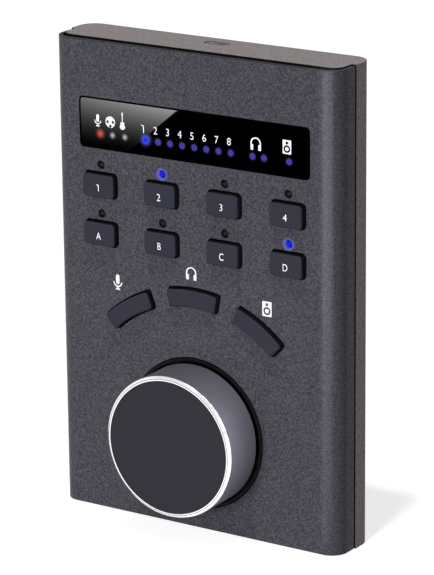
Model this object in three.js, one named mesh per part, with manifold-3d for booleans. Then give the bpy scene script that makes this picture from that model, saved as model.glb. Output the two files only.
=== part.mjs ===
// Desktop controller for an audio interface: a flat upright case with one large turning knob,
// eight keys, three curved keys round the knob, a lit window and a USB inlet in its top end.
// Millimetres. X runs to the right seen from the front, Y runs from front to rear, Z is up.
// The case stands on its bottom end. Depths below are measured back from the cover's front face.

import * as THREE from 'three';
import { mergeVertices } from 'three/addons/utils/BufferGeometryUtils.js';
import Module from 'manifold-3d';

const wasm = await Module();
wasm.setup();

// Clearance between pieces that seat on, pass through or slide in one another
const fitGap = 0.3;

// Case
const bodyWidth = 98;
const bodyHeight = 145.4;
const bodyDepth = 19.4;
const frontEdgeRadius = 5.2;
const rearEdgeRadius = 5.4;
const coverWall = 1.2;
const coverSideDepth = 9;
const seamGap = 0.4;
const chassisWall = 2;
const lipWall = 1.6;
const lipReach = 4;

// Window and its light block
const windowSideMargin = 9.6;
const windowTopMargin = 17.6;
const windowHeight = 14.9;
const windowCorner = 1.5;
const windowFlange = 1.5;
const windowFlangeThickness = 0.8;
const blockMargin = 1.2;
const blockBore = 1.4;

// Lights behind the window: the middles of their groups and their pitches as shares of its
// width, and their row as a share of its height
const inputLightsShare = -0.354;
const meterLightsShare = -0.0185;
const headphoneLightsShare = 0.284;
const speakerLightShare = 0.415;
const inputLightPitchShare = 0.0553;
const meterLightPitchShare = 0.0529;
const headphoneLightPitchShare = 0.0477;
const lightRowShare = -0.205;
const inputLightCount = 3;
const meterLightCount = 8;
const headphoneLightCount = 2;
const speakerLightCount = 1;
const lightWidth = 2;
const lightHeight = 1.3;
const lightThickness = 0.8;
const lightStrip = 0.4;

// Keys
const keyWidth = 10.9;
const keyHeight = 7;
const keyCorner = 1.1;
const keyEdge = 0.3;
const keyProtrusion = 1.9;
const keyFlange = 0.9;
const keyFlangeThickness = 0.8;
const keyTravel = 0.4;
const stemRadius = 2.2;
const outerKeyInset = 7.03;
const keyColumnCount = 4;

// Curved keys, on a circle round the knob
const curvedKeyWidth = 5.3;
const curvedKeyCorner = 0.9;
const curvedKeySpanDegrees = 22.9;
const curvedKeyPitchDegrees = 32.2;

// Light pipes above the keys
const pipeRadius = 1;
const pipeSink = 0.5;
const pipeRailSide = 2.4;
const pipeRailThickness = 1.2;
const pipeRailDepth = 3.1;
const pipeRailEndLength = 2;

// The height left between the well and the window is shared out as gaps: over the well, over
// the curved keys, under each row of lights and over the lower one. The rest is under the window
const wellGapShare = 0.491;
const curvedKeyGapShare = 0.267;
const lightGapShare = 0.015;
const rowGapShare = 0.12;

// Board and push switches
const boardThickness = 1.6;
const standoffLength = 5.3;
const boardMargin = 0.6;
const boardNotch = 3.4;
const switchSide = 6;
const switchThickness = 3;
const plungerRadius = 1.5;
const plungerReach = 0.8;
const plungerSeat = 0.8;

// Knob, its well and the encoder that carries it
const knobRadius = 21.6;
const knobProtrusion = 15.2;
const knobSink = 0.2;
const knobClearance = 0.6;
const knobChamfer = 1.2;
const knobWall = 1.8;
const knobFaceThickness = 2.2;
const knobTravel = 0.5;
const insertPlate = 2;
const hubRadius = 5.2;
const hubRoof = 1;
const wellWall = 0.8;
const wellLowMargin = 2.6;
const wellProtrusion = 0.3;
const wellFlange = 2.2;
const wellFlangeThickness = 1;
const wellFloor = 1.2;
const encoderSide = 12.4;
const encoderThickness = 4.2;
const encoderFloor = 0.6;
const bushingPlate = 0.8;
const bushingRadius = 4.5;
const bushingProud = 1.2;
const nutFlats = 12;
const nutSides = 6;
const nutThickness = 2;
const shaftRadius = 3;
const shaftFlatShare = 0.55;
const pushPlateRadius = 4;
const pushPlateThickness = 1;

// USB inlet in the top end
const usbWidth = 7.6;
const usbThickness = 2.6;
const usbLength = 5.4;
const usbWall = 0.35;
const usbCorner = 0.8;
const usbSink = 0.4;
const tongueWidth = 4.6;
const tongueThickness = 0.6;
const tongueBlock = 1.4;

// Fasteners, chips and feet
const postInset = 7;
const postRadius = 2.8;
const caseScrewRadius = 1.2;
const caseScrewHead = 2.9;
const caseScrewHeadThickness = 0.8;
const caseScrewBite = 8;
const boardScrewInset = 8;
const boardScrewRadius = 1;
const boardScrewHead = 2.2;
const boardScrewHeadThickness = 1.2;
const boardScrewBite = 3.4;
const boardScrewLowerShare = 0.15;
const boardScrewUpperShare = 0.75;
const standoffRadius = 2.6;
const chipThickness = 1.2;
const controllerChipSide = 10;
const driverChipSide = 6;
const chipColumnShare = 0.18;
const controllerChipHeightShare = 0.36;
const driverChipHeightShare = 0.62;
const footRadius = 5;
const footProtrusion = 1.2;
const footEdge = 0.5;
const footSeat = 0.6;
const footInset = 18;

// Facets: arc steps for small corners, case edges, bores, rods and large circles, then the
// sides of large and small turned pieces
const cornerSteps = 2;
const edgeSteps = 4;
const boreSteps = 4;
const plateSteps = 12;
const circleSteps = 6;
const fineSteps = 24;
const turnedFacets = 48;
const smallFacets = 16;

// Overrun of every cutting solid past what it cuts
const overrun = 1;

// Depths of the stack, from the cover's inner face to the rear wall
const flangeFront = coverWall + fitGap;
const flangeRear = flangeFront + keyFlangeThickness;
const rearWallFront = bodyDepth - chassisWall;
const boardRear = rearWallFront - standoffLength;
const boardFront = boardRear - boardThickness;
const partsRear = boardFront - fitGap;
const switchFront = partsRear - switchThickness;
const plungerFront = switchFront - plungerReach;
const encoderFront = partsRear - encoderThickness;
const bushingPlateRear = encoderFront - fitGap;
const bushingPlateFront = bushingPlateRear - bushingPlate;
const wellRear = bushingPlateFront - fitGap;
const wellFloorFront = wellRear - wellFloor;
const nutRear = wellFloorFront - fitGap;
const nutFront = nutRear - nutThickness;
const bushingFront = nutFront - bushingProud;
const seamRear = coverSideDepth + seamGap;

// Layout of the front: the knob in its well, the curved keys, the two rows of keys and the window
const wellRadius = knobRadius + knobClearance + wellWall;
const wellReach = wellRadius + wellFlange;
const knobAxisHeight = chassisWall + fitGap + wellLowMargin + wellReach;
const windowWidth = bodyWidth - 2 * windowSideMargin;
const windowCentreHeight = bodyHeight - windowTopMargin - windowHeight / 2;
const windowLowEnd = windowCentreHeight - windowHeight / 2 - windowFlange;
const keyStack = keyHeight + 2 * keyFlange;
const curvedKeyStack = curvedKeyWidth + 2 * keyFlange;
const fixedHeight = curvedKeyStack + 2 * (keyStack + pipeRailSide);
const freeHeight = windowLowEnd - knobAxisHeight - wellReach - fixedHeight;
const curvedKeyRadius = wellReach + wellGapShare * freeHeight + curvedKeyStack / 2;
const curvedKeyTop = knobAxisHeight + curvedKeyRadius + curvedKeyStack / 2;
const lowerKeyHeight = curvedKeyTop + curvedKeyGapShare * freeHeight + keyStack / 2;
const keyLightRise = (keyStack + pipeRailSide) / 2 + lightGapShare * freeHeight;
const rowPitch = keyStack + pipeRailSide + (lightGapShare + rowGapShare) * freeHeight;
const columnPitch = (windowWidth - 2 * outerKeyInset) / (keyColumnCount - 1);

// Places that several pieces share
const halfWidth = bodyWidth / 2;
const insideHalfWidth = halfWidth - coverWall - fitGap;
const cavityHalfWidth = insideHalfWidth - lipWall;
const postX = halfWidth - postInset;
const postHeights = [postInset, bodyHeight - postInset];
const boardScrewX = halfWidth - boardScrewInset;
const boardScrewHeights = [bodyHeight * boardScrewLowerShare, bodyHeight * boardScrewUpperShare];
const footX = halfWidth - footInset;
const footHeights = [footInset, bodyHeight - footInset];
const usbDepth = boardRear + fitGap + usbThickness / 2;
const lightRowHeight = windowCentreHeight + windowHeight * lightRowShare;
const bothSides = [-1, 1];

// A closed mesh with its shared corners merged becomes a solid for joining and cutting
function solidOf(geometry) {
  const plain = geometry.clone();
  plain.deleteAttribute('normal');
  plain.deleteAttribute('uv');
  const merged = mergeVertices(plain);
  const corners = merged.index.array;
  const kept = [];
  for (let start = 0; start < corners.length; start += 3) {
    const [a, b, c] = corners.slice(start, start + 3);
    if (a !== b && b !== c && c !== a) {
      kept.push(a, b, c);
    }
  }
  const mesh = new wasm.Mesh({
    numProp: 3,
    vertProperties: new Float32Array(merged.attributes.position.array),
    triVerts: new Uint32Array(kept),
  });
  return new wasm.Manifold(mesh);
}

function geometryOf(solid) {
  const mesh = solid.getMesh();
  const geometry = new THREE.BufferGeometry();
  geometry.setAttribute('position', new THREE.BufferAttribute(mesh.vertProperties, 3));
  geometry.setIndex(new THREE.BufferAttribute(mesh.triVerts, 1));
  return geometry;
}

function joined(solids) {
  return solids.reduce((whole, next) => whole.add(next));
}

function cutBy(solid, tools) {
  return tools.reduce((rest, tool) => rest.subtract(tool), solid);
}

// An outline drawn as seen from the front, filled from one depth to another
function slab(outline, nearDepth, farDepth, steps = cornerSteps) {
  const geometry = new THREE.ExtrudeGeometry(outline, {
    depth: farDepth - nearDepth,
    bevelEnabled: false,
    curveSegments: steps,
  });
  geometry.rotateX(Math.PI / 2);
  geometry.translate(0, farDepth, 0);
  return solidOf(geometry);
}

// A round rod or bore that runs from front to rear
function rod(radius, nearDepth, farDepth, x = 0, z = 0) {
  return slab(circle(radius, x, z), nearDepth, farDepth, circleSteps);
}

// A slab with its edges cut at 45 degrees at both depths
function chamferedSlab(outline, nearDepth, farDepth, edge) {
  const geometry = new THREE.ExtrudeGeometry(outline, {
    depth: farDepth - nearDepth - 2 * edge,
    bevelThickness: edge,
    bevelSize: edge,
    bevelOffset: -edge,
    bevelSegments: 1,
    curveSegments: cornerSteps,
  });
  geometry.rotateX(Math.PI / 2);
  geometry.translate(0, farDepth - edge, 0);
  return solidOf(geometry);
}

// An outline drawn as seen from above, raised from one height to another
function column(outline, lowHeight, highHeight, steps = circleSteps) {
  const geometry = new THREE.ExtrudeGeometry(outline, {
    depth: highHeight - lowHeight,
    bevelEnabled: false,
    curveSegments: steps,
  });
  geometry.translate(0, 0, lowHeight);
  return solidOf(geometry);
}

function roundedRectangle(width, height, corner, x = 0, y = 0) {
  const outline = new THREE.Shape();
  const right = x + width / 2 - corner;
  const left = x - width / 2 + corner;
  const top = y + height / 2 - corner;
  const bottom = y - height / 2 + corner;
  outline.absarc(right, top, corner, 0, Math.PI / 2, false);
  outline.absarc(left, top, corner, Math.PI / 2, Math.PI, false);
  outline.absarc(left, bottom, corner, Math.PI, Math.PI * 1.5, false);
  outline.absarc(right, bottom, corner, Math.PI * 1.5, Math.PI * 2, false);
  return outline;
}

function rectangle(width, height, x = 0, y = 0) {
  const outline = new THREE.Shape();
  outline.moveTo(x - width / 2, y - height / 2);
  outline.lineTo(x + width / 2, y - height / 2);
  outline.lineTo(x + width / 2, y + height / 2);
  outline.lineTo(x - width / 2, y + height / 2);
  return outline;
}

function circle(radius, x = 0, y = 0) {
  const outline = new THREE.Shape();
  outline.absarc(x, y, radius, 0, Math.PI * 2, false);
  return outline;
}

// A piece of a ring round the knob, drawn about its own middle, grown evenly on all sides
function curvedKeyOutline(grow) {
  const corner = curvedKeyCorner;
  const halfSpan = THREE.MathUtils.degToRad(curvedKeySpanDegrees / 2);
  const outer = curvedKeyRadius + curvedKeyWidth / 2;
  const inner = curvedKeyRadius - curvedKeyWidth / 2;
  const outerCorner = outer - corner;
  const innerCorner = inner + corner;
  const outerSpan = halfSpan - Math.asin(corner / outerCorner);
  const innerSpan = halfSpan - Math.asin(corner / innerCorner);
  const up = Math.PI / 2;
  const outline = new THREE.Shape();
  const round = (radius, angle, from, to) => {
    const x = radius * Math.cos(angle);
    const y = radius * Math.sin(angle) - curvedKeyRadius;
    outline.absarc(x, y, corner + grow, from, to, false);
  };
  outline.absarc(0, -curvedKeyRadius, outer + grow, up - outerSpan, up + outerSpan, false);
  round(outerCorner, up + outerSpan, up + outerSpan, 2 * up + halfSpan);
  round(innerCorner, up + innerSpan, 2 * up + halfSpan, 3 * up + innerSpan);
  outline.absarc(0, -curvedKeyRadius, inner - grow, up + innerSpan, up - innerSpan, true);
  round(innerCorner, up - innerSpan, 3 * up - innerSpan, 4 * up - halfSpan);
  round(outerCorner, up - outerSpan, 4 * up - halfSpan, 5 * up - outerSpan);
  return outline;
}

// A profile of radius and depth, turned about the front-to-rear axis
function turned(profile, facets = turnedFacets) {
  const points = profile.map(([radius, depth]) => new THREE.Vector2(radius, depth));
  return solidOf(new THREE.LatheGeometry(points, facets));
}

// A closed ring section, given by its corners in order
function turnedRing(corners, facets = turnedFacets) {
  return turned([...corners, corners[0]], facets);
}

// Control stations: where each key and its switch stand, and how they are turned
function controlStations() {
  const stations = [];
  ['1234', 'abcd'].forEach((marks, row) => {
    [...marks].forEach((mark, column) => {
      const x = (column - (keyColumnCount - 1) / 2) * columnPitch;
      stations.push({ mark, x, z: lowerKeyHeight + (1 - row) * rowPitch, turn: 0, curved: false });
    });
  });
  ['microphone', 'headphone', 'speaker'].forEach((mark, index) => {
    const turn = THREE.MathUtils.degToRad((index - 1) * curvedKeyPitchDegrees);
    const x = curvedKeyRadius * Math.sin(turn);
    const z = knobAxisHeight + curvedKeyRadius * Math.cos(turn);
    stations.push({ mark, x, z, turn, curved: true });
  });
  return stations;
}

const stations = controlStations();
const keypadLightPlaces = stations
  .filter((station) => !station.curved)
  .map((station) => [station.x, station.z + keyLightRise]);

function keyOutline(station, grow) {
  if (station.curved) {
    return curvedKeyOutline(grow);
  }
  return roundedRectangle(keyWidth + 2 * grow, keyHeight + 2 * grow, keyCorner + grow);
}

function flangeOutline(station) {
  if (station.curved) {
    return curvedKeyOutline(keyFlange);
  }
  return rectangle(keyWidth + 2 * keyFlange, keyHeight + 2 * keyFlange);
}

// A cutting solid for the hole that a key passes through, moved to the key's place
function keyHole(station) {
  const hole = slab(keyOutline(station, fitGap), -overrun, coverWall + overrun);
  const turnDegrees = THREE.MathUtils.radToDeg(station.turn);
  return hole.rotate([0, turnDegrees, 0]).translate([station.x, 0, station.z]);
}

// Case pieces
function frontCover() {
  const radius = frontEdgeRadius;
  const left = -halfWidth;
  const right = halfWidth;
  const up = Math.PI / 2;
  const sheet = new THREE.Shape();
  sheet.moveTo(left, coverSideDepth);
  sheet.absarc(left + radius, radius, radius, 2 * up, 3 * up, false);
  sheet.absarc(right - radius, radius, radius, 3 * up, 4 * up, false);
  sheet.lineTo(right, coverSideDepth);
  sheet.lineTo(right - coverWall, coverSideDepth);
  sheet.absarc(right - radius, radius, radius - coverWall, 4 * up, 3 * up, true);
  sheet.absarc(left + radius, radius, radius - coverWall, 3 * up, 2 * up, true);
  sheet.lineTo(left + coverWall, coverSideDepth);
  const windowCut = roundedRectangle(
    windowWidth, windowHeight, windowCorner, 0, windowCentreHeight);
  const knobCut = circle(wellRadius + fitGap, 0, knobAxisHeight);
  const through = coverWall + overrun;
  const tools = stations.map(keyHole);
  tools.push(slab(windowCut, -overrun, through));
  tools.push(slab(knobCut, -overrun, through, fineSteps));
  keypadLightPlaces.forEach(([x, z]) => {
    tools.push(rod(pipeRadius + fitGap, -overrun, through, x, z));
  });
  const bare = cutBy(column(sheet, 0, bodyHeight, edgeSteps), tools);
  const postRear = rearWallFront - fitGap;
  const posts = [];
  const bores = [];
  bothSides.forEach((side) => postHeights.forEach((z) => {
    const x = side * postX;
    posts.push(rod(postRadius, coverWall / 2, postRear, x, z));
    const boreNear = postRear - caseScrewBite - fitGap;
    bores.push(rod(caseScrewRadius + fitGap, boreNear, postRear + overrun, x, z));
  }));
  return cutBy(joined([bare, ...posts]), bores);
}

function rearChassis() {
  const up = Math.PI / 2;
  const radius = rearEdgeRadius;
  const lipRadius = frontEdgeRadius - coverWall - fitGap;
  const lipFront = coverWall + fitGap;
  const plan = new THREE.Shape();
  plan.absarc(-insideHalfWidth + lipRadius, lipFront + lipRadius, lipRadius, 2 * up, 3 * up, false);
  plan.absarc(insideHalfWidth - lipRadius, lipFront + lipRadius, lipRadius, 3 * up, 4 * up, false);
  plan.lineTo(insideHalfWidth, seamRear);
  plan.lineTo(halfWidth, seamRear);
  plan.absarc(halfWidth - radius, bodyDepth - radius, radius, 0, up, false);
  plan.absarc(-halfWidth + radius, bodyDepth - radius, radius, up, 2 * up, false);
  plan.lineTo(-halfWidth, seamRear);
  plan.lineTo(-insideHalfWidth, seamRear);
  const body = column(plan, 0, bodyHeight, edgeSteps);
  const lowInside = chassisWall;
  const highInside = bodyHeight - chassisWall;
  const cavityMiddle = (rearWallFront - overrun) / 2;
  const cavity = column(
    rectangle(2 * cavityHalfWidth, rearWallFront + overrun, 0, cavityMiddle), lowInside, highInside);
  const lipEnd = coverSideDepth - lipReach;
  const front = column(
    rectangle(bodyWidth, lipEnd + overrun, 0, (lipEnd - overrun) / 2), lowInside, highInside);
  const usbSlot = roundedRectangle(
    usbWidth + 2 * fitGap, usbThickness + 2 * fitGap, usbCorner + fitGap, 0, usbDepth);
  const usbCut = column(usbSlot, highInside - overrun, bodyHeight + overrun, cornerSteps);
  const hollow = cutBy(body, [cavity, front, usbCut]);
  const standoffs = [];
  const bores = [];
  bothSides.forEach((side) => {
    boardScrewHeights.forEach((z) => {
      const x = side * boardScrewX;
      standoffs.push(rod(standoffRadius, boardRear + fitGap, bodyDepth - fitGap, x, z));
      const boreRear = boardRear + boardScrewBite + fitGap;
      bores.push(rod(boardScrewRadius + fitGap, boardRear, boreRear, x, z));
    });
    postHeights.forEach((z) => {
      const x = side * postX;
      const seat = bodyDepth - caseScrewHeadThickness - fitGap;
      bores.push(rod(caseScrewRadius + fitGap, rearWallFront - overrun, seat + overrun, x, z));
      bores.push(rod(caseScrewHead + fitGap, seat, bodyDepth + overrun, x, z));
    });
    footHeights.forEach((z) => {
      const seat = bodyDepth - footSeat;
      bores.push(rod(footRadius + fitGap, seat, bodyDepth + overrun, side * footX, z));
    });
  });
  return cutBy(joined([hollow, ...standoffs]), bores);
}

// Window and its light block
function displayWindow() {
  const z = windowCentreHeight;
  const pane = roundedRectangle(
    windowWidth - 2 * fitGap, windowHeight - 2 * fitGap, windowCorner - fitGap, 0, z);
  const flange = roundedRectangle(
    windowWidth + 2 * windowFlange, windowHeight + 2 * windowFlange, windowCorner, 0, z);
  const flangeEnd = flangeFront + windowFlangeThickness;
  return joined([slab(pane, 0, flangeEnd), slab(flange, flangeFront, flangeEnd)]);
}

function rowPlaces(middleShare, pitchShare, count) {
  const places = [];
  for (let index = 0; index < count; index += 1) {
    const share = middleShare + (index - (count - 1) / 2) * pitchShare;
    places.push([windowWidth * share, lightRowHeight]);
  }
  return places;
}

const inputLightPlaces = rowPlaces(inputLightsShare, inputLightPitchShare, inputLightCount);
const meterLightPlaces = rowPlaces(meterLightsShare, meterLightPitchShare, meterLightCount);
const outputLightPlaces = [
  ...rowPlaces(headphoneLightsShare, headphoneLightPitchShare, headphoneLightCount),
  ...rowPlaces(speakerLightShare, 0, speakerLightCount),
];

function displayLightBlock() {
  const front = flangeFront + windowFlangeThickness + fitGap;
  const rear = partsRear - lightStrip - fitGap;
  const outline = roundedRectangle(
    windowWidth - 2 * blockMargin, windowHeight - 2 * blockMargin, windowCorner, 0, windowCentreHeight);
  const places = [...inputLightPlaces, ...meterLightPlaces, ...outputLightPlaces];
  const bores = places.map(
    ([x, z]) => slab(circle(blockBore, x, z), front - overrun, rear + overrun, boreSteps));
  return cutBy(slab(outline, front, rear), bores);
}

// Lights in one row on a thin strip that lies on the board
function lightRow(places) {
  const height = places[0][1];
  const first = places[0][0];
  const last = places[places.length - 1][0];
  const front = partsRear - lightThickness;
  const strip = rectangle(last - first + lightWidth, lightHeight, (first + last) / 2, height);
  const lights = places.map(
    ([x, z]) => slab(rectangle(lightWidth, lightHeight, x, z), front, partsRear));
  return joined([slab(strip, partsRear - lightStrip, partsRear), ...lights]);
}

// A strip of clear pipes on a rail that stands on the board by two legs
function lightPipes(places) {
  const height = places[0][1];
  const railLength = (keyColumnCount - 1) * columnPitch + 2 * pipeRadius + 2 * pipeRailEndLength;
  const railFar = pipeRailDepth + pipeRailThickness;
  const solids = [slab(rectangle(railLength, pipeRailSide, 0, height), pipeRailDepth, railFar)];
  places.forEach(([x, z]) => {
    const pipeRear = partsRear - lightThickness - fitGap;
    solids.push(rod(pipeRadius, pipeSink, pipeRear, x, z));
  });
  bothSides.forEach((side) => {
    const legRear = partsRear - lightStrip - fitGap;
    const legX = side * columnPitch;
    solids.push(rod(pipeRadius, pipeRailDepth + pipeRailThickness / 2, legRear, legX, height));
  });
  return joined(solids);
}

// A key with its flange behind the cover and a stem whose thin tip is the switch's plunger
function key(station) {
  const cap = chamferedSlab(
    keyOutline(station, 0), -keyProtrusion, flangeRear - fitGap, keyEdge);
  const flange = slab(flangeOutline(station), flangeFront, flangeRear);
  const stem = rod(stemRadius, flangeRear - fitGap, plungerFront);
  const tipRear = switchFront + plungerSeat;
  const tip = rod(plungerRadius, plungerFront - fitGap, tipRear);
  return joined([cap, flange, stem, tip]);
}

function pushSwitch() {
  const body = slab(rectangle(switchSide, switchSide), switchFront, partsRear);
  const boreRear = switchFront + plungerSeat + keyTravel + fitGap;
  return body.subtract(rod(plungerRadius + fitGap, switchFront - overrun, boreRear));
}

// Board
function mainBoard() {
  const halfBoard = cavityHalfWidth - boardMargin;
  const low = chassisWall + boardMargin;
  const high = bodyHeight - low;
  const notchX = postX - boardNotch;
  const notchLow = postInset + boardNotch;
  const notchHigh = bodyHeight - notchLow;
  const outline = new THREE.Shape([
    [-notchX, low], [notchX, low], [notchX, notchLow], [halfBoard, notchLow],
    [halfBoard, notchHigh], [notchX, notchHigh], [notchX, high], [-notchX, high],
    [-notchX, notchHigh], [-halfBoard, notchHigh], [-halfBoard, notchLow], [-notchX, notchLow],
  ].map(([x, z]) => new THREE.Vector2(x, z)));
  const bores = [];
  bothSides.forEach((side) => boardScrewHeights.forEach((z) => {
    const radius = boardScrewRadius + fitGap;
    bores.push(rod(radius, boardFront - overrun, boardRear + overrun, side * boardScrewX, z));
  }));
  return cutBy(slab(outline, boardFront, boardRear), bores);
}

function chip(side, x, z) {
  const front = boardRear + fitGap;
  return slab(rectangle(side, side, x, z), front, front + chipThickness);
}

// Encoder, drawn about the knob's axis
function encoderHousing() {
  const box = slab(rectangle(encoderSide, encoderSide), encoderFront, partsRear);
  const chamberRear = partsRear - encoderFloor;
  return box.subtract(rod(pushPlateRadius + fitGap, encoderFront - overrun, chamberRear));
}

function encoderBushing() {
  const plate = slab(rectangle(encoderSide, encoderSide), bushingPlateFront, bushingPlateRear);
  const tube = rod(bushingRadius, bushingFront, bushingPlateRear);
  const bore = rod(shaftRadius + fitGap, bushingFront - overrun, bushingPlateRear + overrun);
  return joined([plate, tube]).subtract(bore);
}

function encoderNut() {
  const hexagon = new THREE.Shape();
  const across = nutFlats / 2 / Math.cos(Math.PI / nutSides);
  for (let side = 0; side < nutSides; side += 1) {
    const angle = side * 2 * Math.PI / nutSides;
    const x = across * Math.cos(angle);
    const z = across * Math.sin(angle);
    if (side === 0) {
      hexagon.moveTo(x, z);
    } else {
      hexagon.lineTo(x, z);
    }
  }
  const bore = rod(bushingRadius + fitGap, nutFront - overrun, nutRear + overrun);
  return slab(hexagon, nutFront, nutRear).subtract(bore);
}

const pushPlateRear = partsRear - encoderFloor - fitGap - knobTravel;
const pushPlateFront = pushPlateRear - pushPlateThickness;
const shaftRear = pushPlateFront - fitGap;
const insertFront = -knobProtrusion + knobFaceThickness + fitGap;
const shaftFront = insertFront + hubRoof + fitGap;
const hubRear = bushingFront - knobTravel - fitGap;

function encoderPushPlate() {
  return rod(pushPlateRadius, pushPlateFront, pushPlateRear);
}

// A round shaft whose front stretch has one flat side
function flattedRod(radius, near, far, flatEnd, flatHeight) {
  const round = rod(radius, near, far);
  const flat = rectangle(2 * (radius + overrun), radius, 0, flatHeight + radius / 2);
  return round.subtract(slab(flat, near - overrun, flatEnd));
}

function encoderShaft() {
  return flattedRod(
    shaftRadius, shaftFront, shaftRear, bushingFront - fitGap, shaftRadius * shaftFlatShare);
}

function knobInsert() {
  const plateRear = insertFront + insertPlate;
  const plate = slab(circle(knobRadius - knobWall - fitGap), insertFront, plateRear, plateSteps);
  const hub = rod(hubRadius, insertFront, hubRear);
  const bore = flattedRod(
    shaftRadius + fitGap, shaftFront - fitGap, hubRear + overrun, hubRear + 2 * overrun,
    shaftRadius * shaftFlatShare + fitGap);
  return joined([plate, hub]).subtract(bore);
}

function knobShell() {
  const front = -knobProtrusion;
  const inside = knobRadius - knobWall;
  return turned([
    [0, front],
    [knobRadius - knobChamfer, front],
    [knobRadius, front + knobChamfer],
    [knobRadius, knobSink],
    [inside, knobSink],
    [inside, front + knobFaceThickness],
    [0, front + knobFaceThickness],
  ]);
}

function knobWell() {
  const flangeEnd = flangeFront + wellFlangeThickness;
  return turnedRing([
    [wellRadius, -wellProtrusion],
    [wellRadius, flangeFront],
    [wellRadius + wellFlange, flangeFront],
    [wellRadius + wellFlange, flangeEnd],
    [wellRadius, flangeEnd],
    [wellRadius, wellRear],
    [bushingRadius + fitGap, wellRear],
    [bushingRadius + fitGap, wellFloorFront],
    [wellRadius - wellWall, wellFloorFront],
    [wellRadius - wellWall, -wellProtrusion],
  ]);
}

// USB inlet, its mouth facing up
function usbShell() {
  const mouth = bodyHeight - usbSink;
  const bottom = mouth - usbLength;
  const outside = roundedRectangle(usbWidth, usbThickness, usbCorner, 0, usbDepth);
  const inside = roundedRectangle(
    usbWidth - 2 * usbWall, usbThickness - 2 * usbWall, usbCorner - usbWall, 0, usbDepth);
  const tube = column(outside, bottom, mouth, cornerSteps);
  return tube.subtract(column(inside, bottom - overrun, mouth + overrun, cornerSteps));
}

function usbTongue() {
  const bottom = bodyHeight - usbSink - usbLength;
  const blockWidth = usbWidth - 2 * usbWall - 2 * usbCorner;
  const blockDepth = usbThickness - 2 * usbWall - 2 * fitGap;
  const block = column(rectangle(blockWidth, blockDepth, 0, usbDepth), bottom, bottom + tongueBlock);
  const tip = bodyHeight - usbSink - tongueThickness;
  const tongue = column(rectangle(tongueWidth, tongueThickness, 0, usbDepth), bottom, tip);
  return joined([block, tongue]);
}

// Fasteners and feet, each drawn about its own axis
function caseScrew() {
  const head = rod(caseScrewHead, bodyDepth - caseScrewHeadThickness, bodyDepth);
  const near = rearWallFront - fitGap - caseScrewBite;
  const shank = rod(caseScrewRadius, near, bodyDepth - fitGap);
  return joined([head, shank]);
}

function boardScrew() {
  const headFront = partsRear - boardScrewHeadThickness;
  const head = rod(boardScrewHead, headFront, partsRear);
  const tip = boardRear + boardScrewBite;
  const shank = rod(boardScrewRadius, partsRear - fitGap, tip);
  return joined([head, shank]);
}

function rubberFoot() {
  const near = bodyDepth - footSeat + fitGap;
  const far = bodyDepth + footProtrusion;
  return turned([
    [0, near],
    [footRadius, near],
    [footRadius, far - footEdge],
    [footRadius - footEdge, far],
    [0, far],
  ], smallFacets);
}

// Finishes
const finishes = {
  cover: { color: 0x4a494f, roughness: 0.62, metalness: 0.3 },
  chassis: { color: 0x565152, roughness: 0.66, metalness: 0.3 },
  lens: { color: 0x050506, roughness: 0.06, metalness: 0 },
  key: { color: 0x33353b, roughness: 0.7, metalness: 0 },
  knob: { color: 0x6b6a72, roughness: 0.35, metalness: 0.9 },
  black: { color: 0x101012, roughness: 0.6, metalness: 0 },
  clear: { color: 0xb8bcc4, roughness: 0.2, metalness: 0 },
  board: { color: 0x14452c, roughness: 0.55, metalness: 0 },
  steel: { color: 0x9a9c9f, roughness: 0.35, metalness: 1 },
  brass: { color: 0xb49a5c, roughness: 0.35, metalness: 1 },
  blue: { color: 0x1a1fd0, roughness: 0.3, metalness: 0 },
  red: { color: 0xe03a30, roughness: 0.3, metalness: 0 },
  rubber: { color: 0x1c1c1d, roughness: 0.9, metalness: 0 },
};

function piece(name, solid, finish) {
  const mesh = new THREE.Mesh(geometryOf(solid), new THREE.MeshStandardMaterial(finishes[finish]));
  mesh.name = name;
  return mesh;
}

// Four copies of one piece, mirrored about the case's middle, numbered from the lower left
function fourCopies(name, solid, finish, x, heights) {
  const copies = [];
  heights.forEach((z) => bothSides.forEach((side) => {
    const copy = piece(`${name}_${copies.length + 1}`, solid, finish);
    copy.position.set(side * x, 0, z);
    copies.push(copy);
  }));
  return copies;
}

function caseGroup() {
  const group = new THREE.Group();
  group.add(piece('front_cover', frontCover(), 'cover'));
  group.add(piece('rear_chassis', rearChassis(), 'chassis'));
  group.add(...fourCopies('case_screw', caseScrew(), 'steel', postX, postHeights));
  group.add(...fourCopies('rubber_foot', rubberFoot(), 'rubber', footX, footHeights));
  return group;
}

function displayGroup() {
  const group = new THREE.Group();
  group.add(piece('display_window', displayWindow(), 'lens'));
  group.add(piece('display_light_block', displayLightBlock(), 'black'));
  group.add(piece('input_lights', lightRow(inputLightPlaces), 'red'));
  group.add(piece('meter_lights', lightRow(meterLightPlaces), 'blue'));
  group.add(piece('output_lights', lightRow(outputLightPlaces), 'blue'));
  ['upper', 'lower'].forEach((rowName, row) => {
    const places = keypadLightPlaces.slice(row * keyColumnCount, (row + 1) * keyColumnCount);
    group.add(piece(`${rowName}_key_lights`, lightRow(places), 'blue'));
    group.add(piece(`${rowName}_light_pipes`, lightPipes(places), 'clear'));
  });
  return group;
}

function boardGroup() {
  const group = new THREE.Group();
  const chipX = bodyWidth * chipColumnShare;
  const controllerHeight = bodyHeight * controllerChipHeightShare;
  const driverHeight = bodyHeight * driverChipHeightShare;
  group.add(piece('main_board', mainBoard(), 'board'));
  group.add(...fourCopies('board_screw', boardScrew(), 'steel', boardScrewX, boardScrewHeights));
  group.add(piece('controller_chip', chip(controllerChipSide, -chipX, controllerHeight), 'black'));
  group.add(piece('light_driver_chip', chip(driverChipSide, chipX, driverHeight), 'black'));
  group.add(piece('usb_shell', usbShell(), 'steel'));
  group.add(piece('usb_tongue', usbTongue(), 'black'));
  return group;
}

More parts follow.
